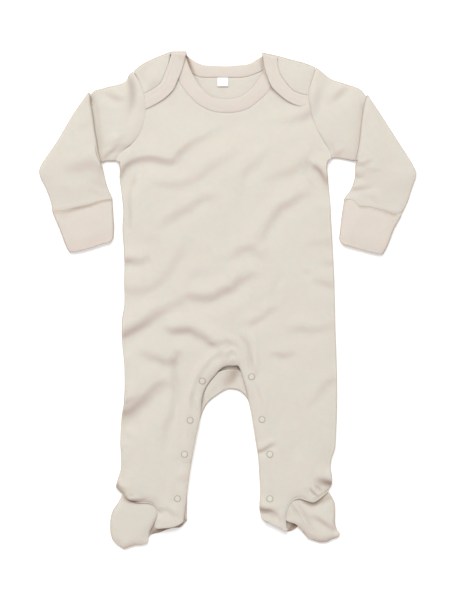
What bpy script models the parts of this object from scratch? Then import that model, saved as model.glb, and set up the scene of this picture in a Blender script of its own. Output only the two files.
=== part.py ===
"""A footed baby sleepsuit laid flat on its back, each cut piece of cloth a thin wall of its own.

Run it with: blender --background --python part.py

X runs across the garment, Y along it towards the neck, and Z up off the surface that it lies on. The tables
are in millimetres. The wearer's right side lies at -X and the left side at +X.
"""

from collections import namedtuple
from math import cos, pi, sin

import bmesh
import bpy
import numpy as np

MM = 0.001

CLOTH_WALL = 1.2  # double-knit cotton
CUFF_WALL = 1.5  # rib knit turned back on itself
LAYER_GAP = 0.3  # air between two layers, and between two pieces at a seam
LAYER_STEP = CLOTH_WALL + LAYER_GAP  # from the middle of one layer to the middle of the next
BACK_LEVEL = CLOTH_WALL / 2
FRONT_LEVEL = BACK_LEVEL + LAYER_STEP
FLAP_LEVEL = FRONT_LEVEL + LAYER_STEP
PUFF = 2 * LAYER_STEP  # how far the front stands above its own edges
MERGE = 0.00001
CURVE_FINENESS = 24  # samples of a smooth curve for each place that it runs through

SIDE_WRAP = 3.5  # the back wraps round the side by this much to meet the front
SIDE_EASE = 30.0  # the front climbs from its side seams over this distance
NECK_EASE_TOP, NECK_EASE_END = 206.0, 158.0  # and from the neck down between these heights

SHOULDER_COLUMNS = 4
NECK_FRONT_COLUMNS = 6
TORSO_COLUMNS = 2 * SHOULDER_COLUMNS + NECK_FRONT_COLUMNS
LEG_COLUMNS = TORSO_COLUMNS // 2
SHOULDER_ROWS = 4  # rows of the shoulders, beside the neck
NECK_STEPS = 2 * SHOULDER_ROWS + NECK_FRONT_COLUMNS
ARMHOLE_STEPS = 7
FLAP_STEPS = 2  # of the armhole's steps, those that the shoulder flap's cloth covers
FLAP_RIB_SHARE = 0.75  # of the next step, the part that the flap's rib covers
SIDE_STEPS = 17
BACK_SPLIT, FRONT_SPLIT = 10, 9  # the side steps where the legs part from the body
LEG_CROWDING = 1.6  # how much closer together the rows of a leg lie near the crotch
SEAM_COLUMNS = 4  # of a leg's columns at the ankle, those along the foot's seam
FOLD_ANGLES = [pi / 3, 2 * pi / 3, pi]
CREASE_STEPS = 8  # of the middle line of a soft fold

PLACKET_WIDTH = 22.0
PLACKET_INSET = 1.0
SNAP_RADIUS, SNAP_TOP_RADIUS, SNAP_HEIGHT, SNAP_SIDES = 4.0, 3.2, 1.3, 12
LABEL_WIDTH, LABEL_DROP, LABEL_WALL, LABEL_EDGE = 12.0, 9.5, 1.0, 0.3
LABEL_MIDDLE, LABEL_TOP = -6.0, 255.5

SLEEVE_HALF = 0.85  # half the distance between the middles of a sleeve's two walls
SLEEVE_CROWN = 1.6
PLEAT_REACH = 6.0  # how far the sleeve's pleat runs under itself at its middle
PLEAT_LEAST = 2.0
PLEAT_NARROWER = 5.0  # the hidden folds stop this far short of the sleeve's edges
PLEAT_FLAT, PLEAT_FALL = 16.0, 20.0  # beyond the pleat the sleeve lies raised, then falls to the surface
UPPER_SLEEVE_STEPS = 2
SLEEVE_SAMPLES = 40
LOWER_SLEEVE_ROWS = [5, 10, 17, 24, 28, 33, 40]  # of those samples, from the pleat to the cuff
CROWNED_FROM = 17  # the first of those rows whose upper wall is crowned
CUFF_CROWNS = [1.6, 1.2, 1.2, 1.2]
FOOT_STEPS = 4

# A material: its colour as linear red, green, blue and alpha, and its roughness.
Finish = namedtuple("Finish", "name colour roughness")
INTERLOCK = Finish("cream_interlock", (0.76, 0.71, 0.62, 1.0), 0.9)
RIB_KNIT = Finish("cream_rib", (0.77, 0.71, 0.63, 1.0), 0.9)
PRESS_STUD = Finish("cream_press_stud", (0.70, 0.66, 0.56, 1.0), 0.45)
TAPE = Finish("white_tape", (0.88, 0.88, 0.88, 1.0), 0.8)

# One place on each side of the garment.
Pair = namedtuple("Pair", "name right_x right_y left_x left_y")
# A place along a neck rib: its sewn edge and its free edge.
Rib = namedtuple("Rib", "name seam_x seam_y free_x free_y")
# A place along the rib of each shoulder flap.
FlapRib = namedtuple("FlapRib", "name side seam_x seam_y free_x free_y")
# A soft fold of the front: the three places it runs through, its depth and its width.
Fold = namedtuple("Fold", "name x1 y1 x2 y2 x3 y3 depth width")

ARMHOLE = [
    Pair("shoulder", -109, 260, 102, 266),
    Pair("upper", -100, 246, 96, 250),
    Pair("notch", -96, 228, 92, 230),
    Pair("middle", -95, 212, 97, 211),
    Pair("lower", -101, 192, 103, 193),
    Pair("turn", -113, 178, 112, 180),
    Pair("underarm", -129, 163, 118, 165),
]
SIDE_SEAM = [
    Pair("underarm", -128, 161, 117.5, 163),
    Pair("chest", -125, 150, 115, 152),
    Pair("rib cage", -121, 103, 117, 109),
    Pair("waist", -120, 52, 121, 59),
    Pair("hip", -121, -6, 123, -6),
    Pair("thigh", -121, -73, 125, -74),
    Pair("knee", -121, -114, 125, -114),
    Pair("calf", -124, -152, 124, -156),
    Pair("shin", -123, -193, 118, -186),
    Pair("ankle bulge", -129, -211, 120, -207),
    Pair("ankle", -122, -223, 115, -218),
]
SHOULDER_LINE = [
    Pair("armhole", -109, 262, 102, 268),
    Pair("middle", -90, 275, 80, 275),
    Pair("rib seam", -68, 284.5, 56, 282.5),
    Pair("rib edge", -49, 286.9, 40, 285.5),
]
BACK_NECK = [
    Rib("right", -55, 269, -40, 277),
    Rib("right back", -38, 259.5, -29, 271),
    Rib("middle right", -18, 256.5, -14, 270),
    Rib("middle left", 6, 256, 5, 270),
    Rib("left back", 26, 258.5, 23, 272),
    Rib("left", 43, 267, 33, 277),
]
FRONT_NECK = [
    Rib("right shoulder", -66, 280, -47, 281),
    Rib("right upper", -60, 260, -44, 267),
    Rib("right side", -49, 241, -37, 254),
    Rib("right lower", -34, 225, -25, 238),
    Rib("right front", -19, 217.5, -12, 233),
    Rib("middle", 1, 216, 0, 232),
    Rib("left front", 18, 218, 13, 234),
    Rib("left lower", 33, 227, 23, 240),
    Rib("left side", 46, 239, 32, 251),
    Rib("left upper", 54, 258, 39, 266),
    Rib("left shoulder", 57, 278, 41, 280),
]
FLAP_RIB = [
    FlapRib("outer", "right", -87, 242, -79, 227),
    FlapRib("corner", "right", -78, 249, -65, 240),
    FlapRib("inner", "right", -71, 262, -55, 257),
    FlapRib("upper", "right", -69, 273, -50, 272),
    FlapRib("outer", "left", 80, 238, 76, 225),
    FlapRib("corner", "left", 69, 247, 60, 235),
    FlapRib("inner", "left", 61, 259, 49, 247),
    FlapRib("upper", "left", 57, 271, 42, 267),
]
OVERARM = [
    Pair("shoulder", -109, 260, 102, 266),
    Pair("near", -121, 250, 118, 255),
    Pair("middle", -138, 245, 138, 248),
    Pair("pleat", -159, 239, 159, 238),
]
UNDERARM = [
    Pair("body", -129, 163, 118, 165),
    Pair("pleat", -146, 158, 146, 158),
]
PLEAT_LINE = [
    Pair("overarm", -159, 239, 159, 238),
    Pair("upper", -156, 218, 154, 214),
    Pair("lower", -150, 176, 149, 176),
    Pair("underarm", -146, 158, 146, 158),
]
SLEEVE_OUTER = [
    Pair("pleat", -159, 239, 159, 238),
    Pair("upper", -177, 214, 186, 197),
    Pair("above elbow", -199, 181, 207, 166),
    Pair("elbow", -217.4, 148, 217.4, 147),
    Pair("below elbow", -207, 117, 208, 116),
    Pair("cuff", -200, 99, 200, 98),
]
SLEEVE_INNER = [
    Pair("pleat", -146, 158, 146, 158),
    Pair("middle", -139, 134, 143, 134),
    Pair("cuff", -132, 117, 135, 118),
]
CUFF_SEAM = [
    Pair("outer", -200, 99, 200, 98),
    Pair("bend", -172, 107, 172, 105),
    Pair("inner side", -147, 115, 152, 110),
    Pair("inner", -132, 117, 135, 118),
]
CUFF_OUTER = [
    Pair("seam", -200, 98, 200, 97),
    Pair("middle", -193, 78, 189, 76),
    Pair("end", -185, 57, 180, 55),
]
CUFF_INNER = [
    Pair("seam", -132, 116, 134, 117),
    Pair("middle", -130, 90, 129, 92),
    Pair("end", -131, 69, 129, 68),
]
CUFF_END = [
    Pair("outer", -185, 57, 180, 55),
    Pair("middle", -156, 60, 160, 56),
    Pair("inner", -131, 69, 129, 68),
]
BACK_INNER_LEG = [
    Pair("crotch", 5, -103, 5, -103),
    Pair("peak", -2, -103.5, 12, -104),
    Pair("upper", -11, -109, 16, -107),
    Pair("turn", -24, -120, 22, -114),
    Pair("thigh", -31, -135, 28, -135),
    Pair("knee", -39, -177, 34, -180),
    Pair("shin", -46, -214, 37, -210),
    Pair("ankle", -47, -236, 36, -236),
]
FRONT_INNER_LEG = [
    Pair("crotch", 5, -75, 5, -75),
    Pair("peak", -2, -75.7, 10, -75.7),
    Pair("upper", -10, -81, 14, -81),
    Pair("turn", -24, -98, 19, -99),
    Pair("thigh", -31, -116, 25, -120),
    Pair("knee", -38, -170, 33, -170),
    Pair("shin", -46, -214, 37, -210),
    Pair("ankle", -46, -253, 38, -250),
]
BACK_ROW = [Pair("leg", -60, -86, 65, -86)]
FRONT_ROW = [Pair("leg", -60, -55, 65, -55)]
FOOT_SEAM = [
    Pair("outer", -122, -223, 115, -218),
    Pair("first", -105, -233, 100, -230),
    Pair("arch", -90, -232, 82, -228),
    Pair("inner", -80, -244, 69, -240),
]
LEG_HEM = [
    Pair("seam", -80, -244, 69, -240),
    Pair("step", -83, -258, 65, -258),
    Pair("heel", -66, -262, 54, -259),
    Pair("inner", -46, -253, 38, -250),
]
FOOT_SIDE = [
    Pair("ankle", -122, -223, 115, -218),
    Pair("instep", -132, -241, 123, -234),
    Pair("toe", -136, -269, 124, -256),
]
FOOT_TOE = [
    Pair("side", -136, -269, 124, -256),
    Pair("corner", -130, -281, 128, -270),
    Pair("tip", -120, -286.4, 114, -279),
    Pair("under", -106, -284, 103, -278),
    Pair("inner", -92, -278, 92, -274),
]
FOOT_INNER = [
    Pair("seam", -80, -244, 69, -240),
    Pair("middle", -89, -262, 72, -257),
    Pair("toe", -92, -278, 92, -274),
]
HEEL = [
    Pair("toe", -92, -278, 92, -274),
    Pair("arch", -88, -271, 82, -261),
    Pair("heel", -66, -263.5, 58, -262),
    Pair("inner", -47, -255, 38, -252),
]
SNAPS = [
    Pair("crotch", -29.5, -93, 27, -88),
    Pair("thigh", -44, -138, 39, -137),
    Pair("knee", -50, -177, 48, -177),
    Pair("ankle", -58, -228, 48, -228),
]
FRONT_FOLDS = [
    Fold("right armpit to chest", -122, 147, -67, 160, 5, 204, 2.0, 14),
    Fold("left side to waist", 104, 129, 74, 113, 35, 68, 2.2, 14),
    Fold("right waist", -47, 73, -72, 28, -112, 11, 1.8, 14),
    Fold("across the belly", -59, -3, -7, 10, 35, 28, 2.4, 13),
    Fold("right hip", -118, -41, -99, -28, -70, -11, 1.8, 13),
    Fold("right groin", -69, -30, -45, -32, -26, -38, 1.5, 9),
    Fold("right knee", -70, -89, -95, -110, -118, -139, 1.8, 15),
    Fold("left knee", 119, -93, 105, -108, 95, -123, 1.6, 13),
]


def side_of(table, side):
    """One side's places from a table of pairs."""
    if side == "right":
        return [(row.right_x, row.right_y) for row in table]
    return [(row.left_x, row.left_y) for row in table]


def smooth(points, steps, crowding=1.0):
    """Places along a smooth curve through the given points, evenly apart or crowded towards its start."""
    places = np.array(points, float)
    knots = np.append(0.0, np.cumsum(np.sqrt(np.linalg.norm(np.diff(places, axis=0), axis=1))))
    slopes = np.gradient(places, knots, axis=0)
    fine = np.linspace(0.0, knots[-1], CURVE_FINENESS * len(points))
    span = np.clip(np.searchsorted(knots, fine, side="right") - 1, 0, len(knots) - 2)
    length = (knots[span + 1] - knots[span])[:, None]
    t = (fine[:, None] - knots[span][:, None]) / length
    curve = (
        (2 * t**3 - 3 * t**2 + 1) * places[span]
        + (t**3 - 2 * t**2 + t) * length * slopes[span]
        + (3 * t**2 - 2 * t**3) * places[span + 1]
        + (t**3 - t**2) * length * slopes[span + 1]
    )
    run = np.append(0.0, np.cumsum(np.linalg.norm(np.diff(curve, axis=0), axis=1)))
    wanted = run[-1] * np.linspace(0.0, 1.0, steps + 1) ** crowding
    return np.column_stack([np.interp(wanted, run, curve[:, axis]) for axis in range(2)])


def joined(*edges):
    """Edges laid end to end, where each starts at the last one's end."""
    return np.vstack([edges[0]] + [edge[1:] for edge in edges[1:]])


def shifted(edge, distance):
    """The edge moved sideways, to the left of the way it runs."""
    run = np.gradient(edge, axis=0)
    run /= np.linalg.norm(run, axis=1, keepdims=True)
    return edge + distance * np.column_stack([-run[:, 1], run[:, 0]])


def patch(near, far, start, end):
    """A grid that fills four edges: near and far run across it, start and end from near to far."""
    start = np.vstack([near[:1], start[1:-1], far[:1]])
    end = np.vstack([near[-1:], end[1:-1], far[-1:]])
    across = np.linspace(0, 1, len(near))[None, :, None]
    along = np.linspace(0, 1, len(start))[:, None, None]
    ruled = (1 - along) * near[None] + along * far[None]
    ruled = ruled + (1 - across) * start[:, None] + across * end[:, None]
    corners = (1 - along) * ((1 - across) * near[0] + across * near[-1])
    corners = corners + along * ((1 - across) * far[0] + across * far[-1])
    return ruled - corners


def raised(grid, height):
    """A flat grid given its height, one number or one for each place."""
    return np.concatenate([grid, np.broadcast_to(height, grid.shape[:2])[..., None]], axis=2)


def ease(amount):
    """From 0 to 1 with a soft start and a soft end."""
    amount = np.clip(amount, 0, 1)
    return amount * amount * (3 - 2 * amount)


def distance_to(grid, edge):
    """How far each place of a grid lies from an edge."""
    starts, runs = edge[:-1], np.diff(edge, axis=0)
    offset = grid[..., None, :] - starts
    share = np.clip((offset * runs).sum(-1) / (runs * runs).sum(-1), 0, 1)
    return np.linalg.norm(offset - share[..., None] * runs, axis=-1).min(-1)


def material(finish):
    made = bpy.data.materials.new(finish.name)
    made.use_nodes = True
    shader = made.node_tree.nodes["Principled BSDF"]
    shader.inputs["Base Color"].default_value = finish.colour
    shader.inputs["Roughness"].default_value = finish.roughness
    shader.inputs["Metallic"].default_value = 0.0
    made.diffuse_color = finish.colour
    return made


def add_piece(name, form, cloth, garment):
    mesh = bpy.data.meshes.new(name)
    form.to_mesh(mesh)
    form.free()
    mesh.materials.append(cloth)
    piece = bpy.data.objects.new(name, mesh)
    garment.objects.link(piece)
    return piece


def add_cloth(name, grids, cloth, garment, wall=CLOTH_WALL, closed=False):
    """A wall of cloth grown to both sides of its grids of places, which join where they meet."""
    form = bmesh.new()
    for grid in grids:
        rows = [[form.verts.new(place * MM) for place in row] for row in grid]
        for near, far in zip(rows, rows[1:]):
            for k in range(len(near) if closed else len(near) - 1):
                beside = (k + 1) % len(near)
                form.faces.new((near[k], near[beside], far[beside], far[k]))
    bmesh.ops.remove_doubles(form, verts=form.verts, dist=MERGE)
    bmesh.ops.recalc_face_normals(form, faces=form.faces)
    piece = add_piece(name, form, cloth, garment)
    grown = piece.modifiers.new("Wall", "SOLIDIFY")
    grown.thickness = wall * MM
    grown.offset = 0.0
    grown.use_even_offset = not closed
    return piece


class Outline:
    """The edges that the pieces of one side share, each sampled once so that the seams match."""

    def __init__(self, side):
        self.side = side
        self.hand = -1 if side == "right" else 1
        fold_drop = np.array([0.0, LAYER_STEP + CLOTH_WALL / 2])
        self.armhole = smooth(side_of(ARMHOLE, side), ARMHOLE_STEPS)
        self.side_seam = smooth(side_of(SIDE_SEAM, side), SIDE_STEPS)
        shoulder = smooth(side_of(SHOULDER_LINE[:3], side), SHOULDER_COLUMNS) - fold_drop
        self.shoulder = np.vstack([self.armhole[:1], shoulder[1:]])
        self.rib_fold = smooth(side_of(SHOULDER_LINE[2:], side), 2) - fold_drop
        self.back_inner = smooth(side_of(BACK_INNER_LEG, side), SIDE_STEPS - BACK_SPLIT, LEG_CROWDING)
        self.front_inner = smooth(side_of(FRONT_INNER_LEG, side), SIDE_STEPS - FRONT_SPLIT, LEG_CROWDING)
        self.foot_seam = smooth(side_of(FOOT_SEAM, side), SEAM_COLUMNS)
        self.leg_hem = smooth(side_of(LEG_HEM, side), LEG_COLUMNS - SEAM_COLUMNS)
        self.ankle = np.linspace(self.side_seam[-1], self.back_inner[-1], LEG_COLUMNS + 1)

    def inward(self, edge, distance):
        """An edge that runs down this side's outer border, moved towards the garment's middle."""
        return shifted(edge, -self.hand * distance)


def back_neck_edges(right, left):
    """The back neck rib's sewn and free edges, from the right shoulder fold to the left one."""
    seam = [right.rib_fold[0], *[(row.seam_x, row.seam_y) for row in BACK_NECK], left.rib_fold[0]]
    free = [right.rib_fold[-1], *[(row.free_x, row.free_y) for row in BACK_NECK], left.rib_fold[-1]]
    return smooth(seam, NECK_STEPS), smooth(free, NECK_STEPS)


def front_neck_edges():
    """The front neck rib's sewn and free edges, from the right shoulder to the left one."""
    seam = [(row.seam_x, row.seam_y) for row in FRONT_NECK]
    free = [(row.free_x, row.free_y) for row in FRONT_NECK]
    return smooth(seam, NECK_STEPS), smooth(free, NECK_STEPS)


def flap_seam(outline):
    """Where a shoulder flap meets its rib, from the armhole up to the shoulder fold."""
    places = [(row.seam_x, row.seam_y) for row in FLAP_RIB if row.side == outline.side]
    steps = SHOULDER_COLUMNS + FLAP_STEPS
    return smooth([outline.armhole[FLAP_STEPS], *places, outline.rib_fold[0]], steps)


def over_the_fold(row, rise_from):
    """Rows that turn a row of cloth over at the shoulder, from the back's level to the flap's."""
    turns = []
    for angle in FOLD_ANGLES:
        over = row + np.array([0.0, LAYER_STEP * sin(angle)])
        turns.append(raised(over[None], rise_from + LAYER_STEP * (1 - cos(angle)))[0])
    return np.array([raised(row[None], rise_from)[0], *turns])


def side_curl(edge, outline):
    """The back's edge, curled up round the side and in over itself to meet the front."""
    radius = LAYER_STEP / 2
    columns = [raised(edge[None], BACK_LEVEL)[0]]
    for angle in FOLD_ANGLES:
        out = outline.inward(edge, -radius * sin(angle))
        columns.append(raised(out[None], BACK_LEVEL + radius * (1 - cos(angle)))[0])
    end = outline.inward(edge, SIDE_WRAP - radius - CLOTH_WALL / 2)
    columns.append(raised(end[None], FRONT_LEVEL)[0])
    return np.array(columns)


# Half a body panel: its shoulder, armhole, side and inner leg edges, its hem and its leg's first row.
Half = namedtuple("Half", "shoulder armhole border split inner hem row_table")


def body_grids(neck, right, left):
    """The grids of a body panel: its two shoulders, its two legs and the torso between them."""
    chests, rows, borders, grids = [], [], [], []
    for half, side_neck, side in ((right, neck, "right"), (left, neck[::-1], "left")):
        side_neck = side_neck[: SHOULDER_ROWS + 1]
        chest = np.linspace(half.armhole[SHOULDER_ROWS], side_neck[-1], SHOULDER_COLUMNS + 1)
        grids.append(patch(half.shoulder, chest, half.armhole[: SHOULDER_ROWS + 1], side_neck))
        leg_top = [half.border[half.split], *side_of(half.row_table, side), half.inner[0]]
        row = smooth(leg_top, LEG_COLUMNS)
        grids.append(patch(row, half.hem, half.border[half.split :], half.inner))
        chests.append(chest)
        rows.append(row)
        borders.append(np.vstack([half.armhole[SHOULDER_ROWS:-1], half.border[: half.split + 1]])[::-1])
    top = joined(chests[0], neck[SHOULDER_ROWS : -SHOULDER_ROWS], chests[1][::-1])
    bottom = joined(rows[0], rows[1][::-1])
    grids.append(patch(bottom, top, *borders))
    return grids


def back_body(right, left, cream, garment):
    """The back of the body and legs, with the shoulders folded forward as flaps."""
    neck = back_neck_edges(right, left)[0]
    inside = shifted(neck, -LAYER_GAP / 2)
    inside[0], inside[-1] = neck[0], neck[-1]
    halves, folded = [], []
    for outline in (right, left):
        border = outline.inward(outline.side_seam, LAYER_STEP / 2 + CLOTH_WALL / 2)
        armhole = outline.inward(outline.armhole, LAYER_GAP / 2)
        armhole[0], armhole[-1] = outline.shoulder[0], border[0]
        hem = np.vstack([border[-1:], outline.ankle[1:]])
        halves.append(Half(outline.shoulder, armhole, border, BACK_SPLIT, outline.back_inner, hem, BACK_ROW))
        folded.append(side_curl(border, outline))
        folded.append(over_the_fold(outline.shoulder, BACK_LEVEL))
        seam = np.vstack([armhole[FLAP_STEPS], flap_seam(outline)[1:]])
        far, end = seam[: SHOULDER_COLUMNS + 1], seam[SHOULDER_COLUMNS:][::-1]
        flap = patch(outline.shoulder, far, armhole[: FLAP_STEPS + 1], end)
        folded.append(raised(flap, FLAP_LEVEL))
    flat = [raised(grid, BACK_LEVEL) for grid in body_grids(inside, *halves)]
    return add_cloth("back_body", flat + folded, cream, garment)


def front_height(grid, seams):
    """The front's height: low at its side seams and neck, full between them, with its largest folds."""
    away = np.min([distance_to(grid, seam) for seam in seams], axis=0)
    below_neck = (NECK_EASE_TOP - grid[..., 1]) / (NECK_EASE_TOP - NECK_EASE_END)
    height = FRONT_LEVEL + PUFF * ease(away / SIDE_EASE) * ease(below_neck)
    for fold in FRONT_FOLDS:
        line = smooth([(fold.x1, fold.y1), (fold.x2, fold.y2), (fold.x3, fold.y3)], CREASE_STEPS)
        height = height - fold.depth * np.exp(-((distance_to(grid, line) / fold.width) ** 2))
    return np.maximum(height, FRONT_LEVEL)


def front_body(right, left, cream, garment):
    """The front of the body and legs, up to its rib and the two shoulders under the flaps."""
    neck = shifted(front_neck_edges()[0], -LAYER_GAP / 2)
    halves = []
    for outline, neck_end in ((right, neck[0]), (left, neck[-1])):
        shoulder = outline.shoulder + np.array([0.0, -LAYER_STEP])
        border = outline.inward(outline.side_seam, SIDE_WRAP + LAYER_GAP)
        armhole = outline.inward(outline.armhole, LAYER_GAP / 2)
        armhole[0] += LAYER_STEP * (armhole[1] - armhole[0]) / np.linalg.norm(armhole[1] - armhole[0])
        shoulder[0], shoulder[-1] = armhole[0], neck_end
        hem = np.vstack([border[-1:], joined(outline.foot_seam, outline.leg_hem)[1:]])
        halves.append(Half(shoulder, armhole, border, FRONT_SPLIT, outline.front_inner, hem, FRONT_ROW))
    seams = [joined(outline.armhole, outline.side_seam) for outline in (right, left)]
    grids = [raised(grid, front_height(grid, seams)) for grid in body_grids(neck, *halves)]
    return add_cloth("front_body", grids, cream, garment)


def neck_ribs(right, left, ribbed, garment):
    """The rib round the front neck, and the longer one round the back neck and both flaps."""
    seam, free = front_neck_edges()
    front = np.array([seam, (seam + free) / 2, free])
    front[0] = shifted(seam, LAYER_GAP / 2)
    add_cloth("front_neck_rib", [raised(front, FRONT_LEVEL)], ribbed, garment)

    seam, free = back_neck_edges(right, left)
    back = np.array([shifted(seam, LAYER_GAP / 2), (seam + free) / 2, free])
    aside = LAYER_GAP * np.array([1.0, 0.0])
    back[0, 0], back[0, -1] = seam[0] + aside, seam[-1] - aside
    back[1, 0], back[1, -1] = right.rib_fold[1], left.rib_fold[1]
    grids = [raised(back, BACK_LEVEL)]
    for outline in (right, left):
        fold_row = outline.rib_fold.copy()
        fold_row[0] -= outline.hand * aside
        grids.append(over_the_fold(fold_row, BACK_LEVEL))
        sewn = flap_seam(outline)
        places = [(row.free_x, row.free_y) for row in FLAP_RIB if row.side == outline.side]
        cloth_end, below = outline.inward(outline.armhole, LAYER_GAP / 2)[FLAP_STEPS : FLAP_STEPS + 2]
        start = cloth_end + FLAP_RIB_SHARE * (below - cloth_end)
        free_edge = smooth([start, *places, outline.rib_fold[-1]], len(sewn) - 1)
        rib = np.array([shifted(sewn, outline.hand * LAYER_GAP), (sewn + free_edge) / 2, free_edge])
        rib[:, -1] = fold_row
        grids.append(raised(rib, FLAP_LEVEL))
    add_cloth("back_neck_rib", grids, ribbed, garment)


def ring(row, level, half, crown=0.0, turn=0.0, outward=(0.0, 0.0)):
    """A flattened ring of cloth round a row of places. The turn tips its upper wall back over the sleeve."""
    up = np.array([-outward[0] * sin(turn), -outward[1] * sin(turn), cos(turn)])
    middle = np.column_stack([row, np.broadcast_to(level, len(row))])
    bulge = crown * np.sin(np.linspace(0, pi, len(row)))
    upper = middle + (half + bulge)[:, None] * up
    lower = middle - half * up
    points = list(upper)
    for place, beside in ((-1, -2), (0, 1)):
        side = middle[place] - middle[beside]
        side[2] = 0.0
        side /= np.linalg.norm(side)
        sign = 1 if place == -1 else -1
        for angle in FOLD_ANGLES[:2]:
            points.append(middle[place] + half * (side * sin(angle) + sign * up * cos(angle)))
        if place == -1:
            points.extend(lower[::-1])
    return np.array(points)


def narrowed(row, inset):
    """A row drawn in at both its ends."""
    made = row.copy()
    for place, beside in ((0, 1), (-1, -2)):
        run = row[beside] - row[place]
        made[place] = row[place] + inset * run / np.linalg.norm(run)
    return made


def sleeve(outline, cream, garment):
    """A flattened sleeve whose lower half is pleated down over its upper half."""
    side, hand = outline.side, outline.hand
    outward = np.array([hand, 0.0])
    edge_inset = SLEEVE_HALF + CLOTH_WALL / 2
    low = CLOTH_WALL / 2 + SLEEVE_HALF
    radius = SLEEVE_HALF + CLOTH_WALL / 2 + LAYER_GAP / 2
    pleat = smooth(side_of(PLEAT_LINE, side), ARMHOLE_STEPS)
    armhole = outline.inward(outline.armhole, -LAYER_GAP / 2)
    overarm = smooth(side_of(OVERARM, side), UPPER_SLEEVE_STEPS)
    underarm = smooth(side_of(UNDERARM, side), UPPER_SLEEVE_STEPS)
    upper = patch(armhole, pleat, overarm, underarm)
    rings = [ring(narrowed(upper[0], edge_inset), low, SLEEVE_HALF)]
    rings.append(ring(narrowed(upper[1], edge_inset), low, SLEEVE_HALF, SLEEVE_CROWN))

    hidden = narrowed(pleat, PLEAT_NARROWER)
    reach = PLEAT_LEAST + (PLEAT_REACH - PLEAT_LEAST) * np.sin(np.linspace(0, pi, len(pleat)))
    lead = radius + edge_inset
    for angle in [0.0, *FOLD_ANGLES]:
        row = hidden + np.outer(reach + lead + radius * sin(angle), outward)
        level = low + radius * (1 - cos(angle))
        rings.append(ring(row, level, SLEEVE_HALF, turn=angle, outward=outward))
    front = narrowed(pleat, edge_inset)
    for angle in [0.0, *FOLD_ANGLES]:
        row = (hidden if angle == 0.0 else front) + np.outer(np.full(len(pleat), lead), outward)
        row = row - radius * sin(angle) * outward
        level = low + radius * (3 - cos(angle))
        rings.append(ring(row, level, SLEEVE_HALF, turn=pi - angle, outward=outward))

    cuff_seam = smooth(side_of(CUFF_SEAM, side), ARMHOLE_STEPS)
    outer = smooth(side_of(SLEEVE_OUTER, side), SLEEVE_SAMPLES)
    inner = smooth(side_of(SLEEVE_INNER, side), SLEEVE_SAMPLES)
    lower = patch(pleat, cuff_seam, outer, inner)
    lower[-1, :, 1] += LAYER_GAP / 2
    for sample in LOWER_SLEEVE_ROWS:
        row = narrowed(lower[sample], edge_inset)
        fall = ease((distance_to(row[None], pleat)[0] - PLEAT_FLAT) / PLEAT_FALL)
        level = low + 4 * radius * (1 - fall)
        rings.append(ring(row, level, SLEEVE_HALF, SLEEVE_CROWN if sample >= CROWNED_FROM else 0.0))
    return add_cloth(f"sleeve_{side}", [rings], cream, garment, closed=True)


def cuff(outline, ribbed, garment):
    """A flattened rib cuff, open at its end."""
    side = outline.side
    seam = smooth(side_of(CUFF_SEAM, side), ARMHOLE_STEPS) - np.array([0.0, LAYER_GAP / 2])
    end = smooth(side_of(CUFF_END, side), ARMHOLE_STEPS)
    cuff_steps = len(CUFF_CROWNS) - 1
    outer = smooth(side_of(CUFF_OUTER, side), cuff_steps)
    tube = patch(seam, end, outer, smooth(side_of(CUFF_INNER, side), cuff_steps))
    half = SLEEVE_HALF + (CUFF_WALL - CLOTH_WALL) / 2
    inset = half + CUFF_WALL / 2
    rings = [ring(narrowed(row, inset), inset, half, crown) for row, crown in zip(tube, CUFF_CROWNS)]
    return add_cloth(f"cuff_{side}", [rings], ribbed, garment, CUFF_WALL, closed=True)


def placket(name, right_leg, left_leg, level, cream, garment):
    """A strip inside the inner leg edges, from one ankle up round the crotch to the other."""
    edge = joined(right_leg[::-1], left_leg)
    strip = np.array([shifted(edge, PLACKET_INSET), shifted(edge, PLACKET_INSET + PLACKET_WIDTH)])
    return add_cloth(name, [raised(strip, level)], cream, garment)


def foot(outline, cream, garment):
    """A foot's upper, domed from its edges, and its flat sole."""
    side = outline.side
    seam = outline.foot_seam - np.array([0.0, LAYER_GAP])
    toe = smooth(side_of(FOOT_TOE, side), SEAM_COLUMNS)
    outer = smooth(side_of(FOOT_SIDE, side), FOOT_STEPS)
    inner = smooth(side_of(FOOT_INNER, side), FOOT_STEPS)
    upper = patch(seam, toe, outer, inner)
    away = distance_to(upper, joined(outer, toe, inner[::-1]))
    height = FRONT_LEVEL + PUFF * ease(away / SIDE_EASE)
    add_cloth(f"foot_upper_{side}", [raised(upper, height)], cream, garment)

    ankle = outline.ankle - np.array([0.0, LAYER_GAP])
    sole_end = smooth([*side_of(FOOT_TOE, side), *side_of(HEEL[1:], side)], len(ankle) - 1)
    heel_edge = np.linspace(ankle[-1], sole_end[-1], FOOT_STEPS + 1)
    sole = patch(ankle, sole_end, outer, heel_edge)
    add_cloth(f"sole_{side}", [raised(sole, BACK_LEVEL)], cream, garment)


def snap(side, number, x, y, stud, garment):
    """A press stud's round cap on the front."""
    form = bmesh.new()
    bmesh.ops.create_cone(
        form,
        cap_ends=True,
        segments=SNAP_SIDES,
        radius1=SNAP_RADIUS * MM,
        radius2=SNAP_TOP_RADIUS * MM,
        depth=SNAP_HEIGHT * MM,
    )
    piece = add_piece(f"snap_{side}_{number}", form, stud, garment)
    front_top = FRONT_LEVEL + PUFF + CLOTH_WALL / 2
    piece.location = (x * MM, y * MM, (front_top + LAYER_GAP + SNAP_HEIGHT / 2) * MM)


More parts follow.
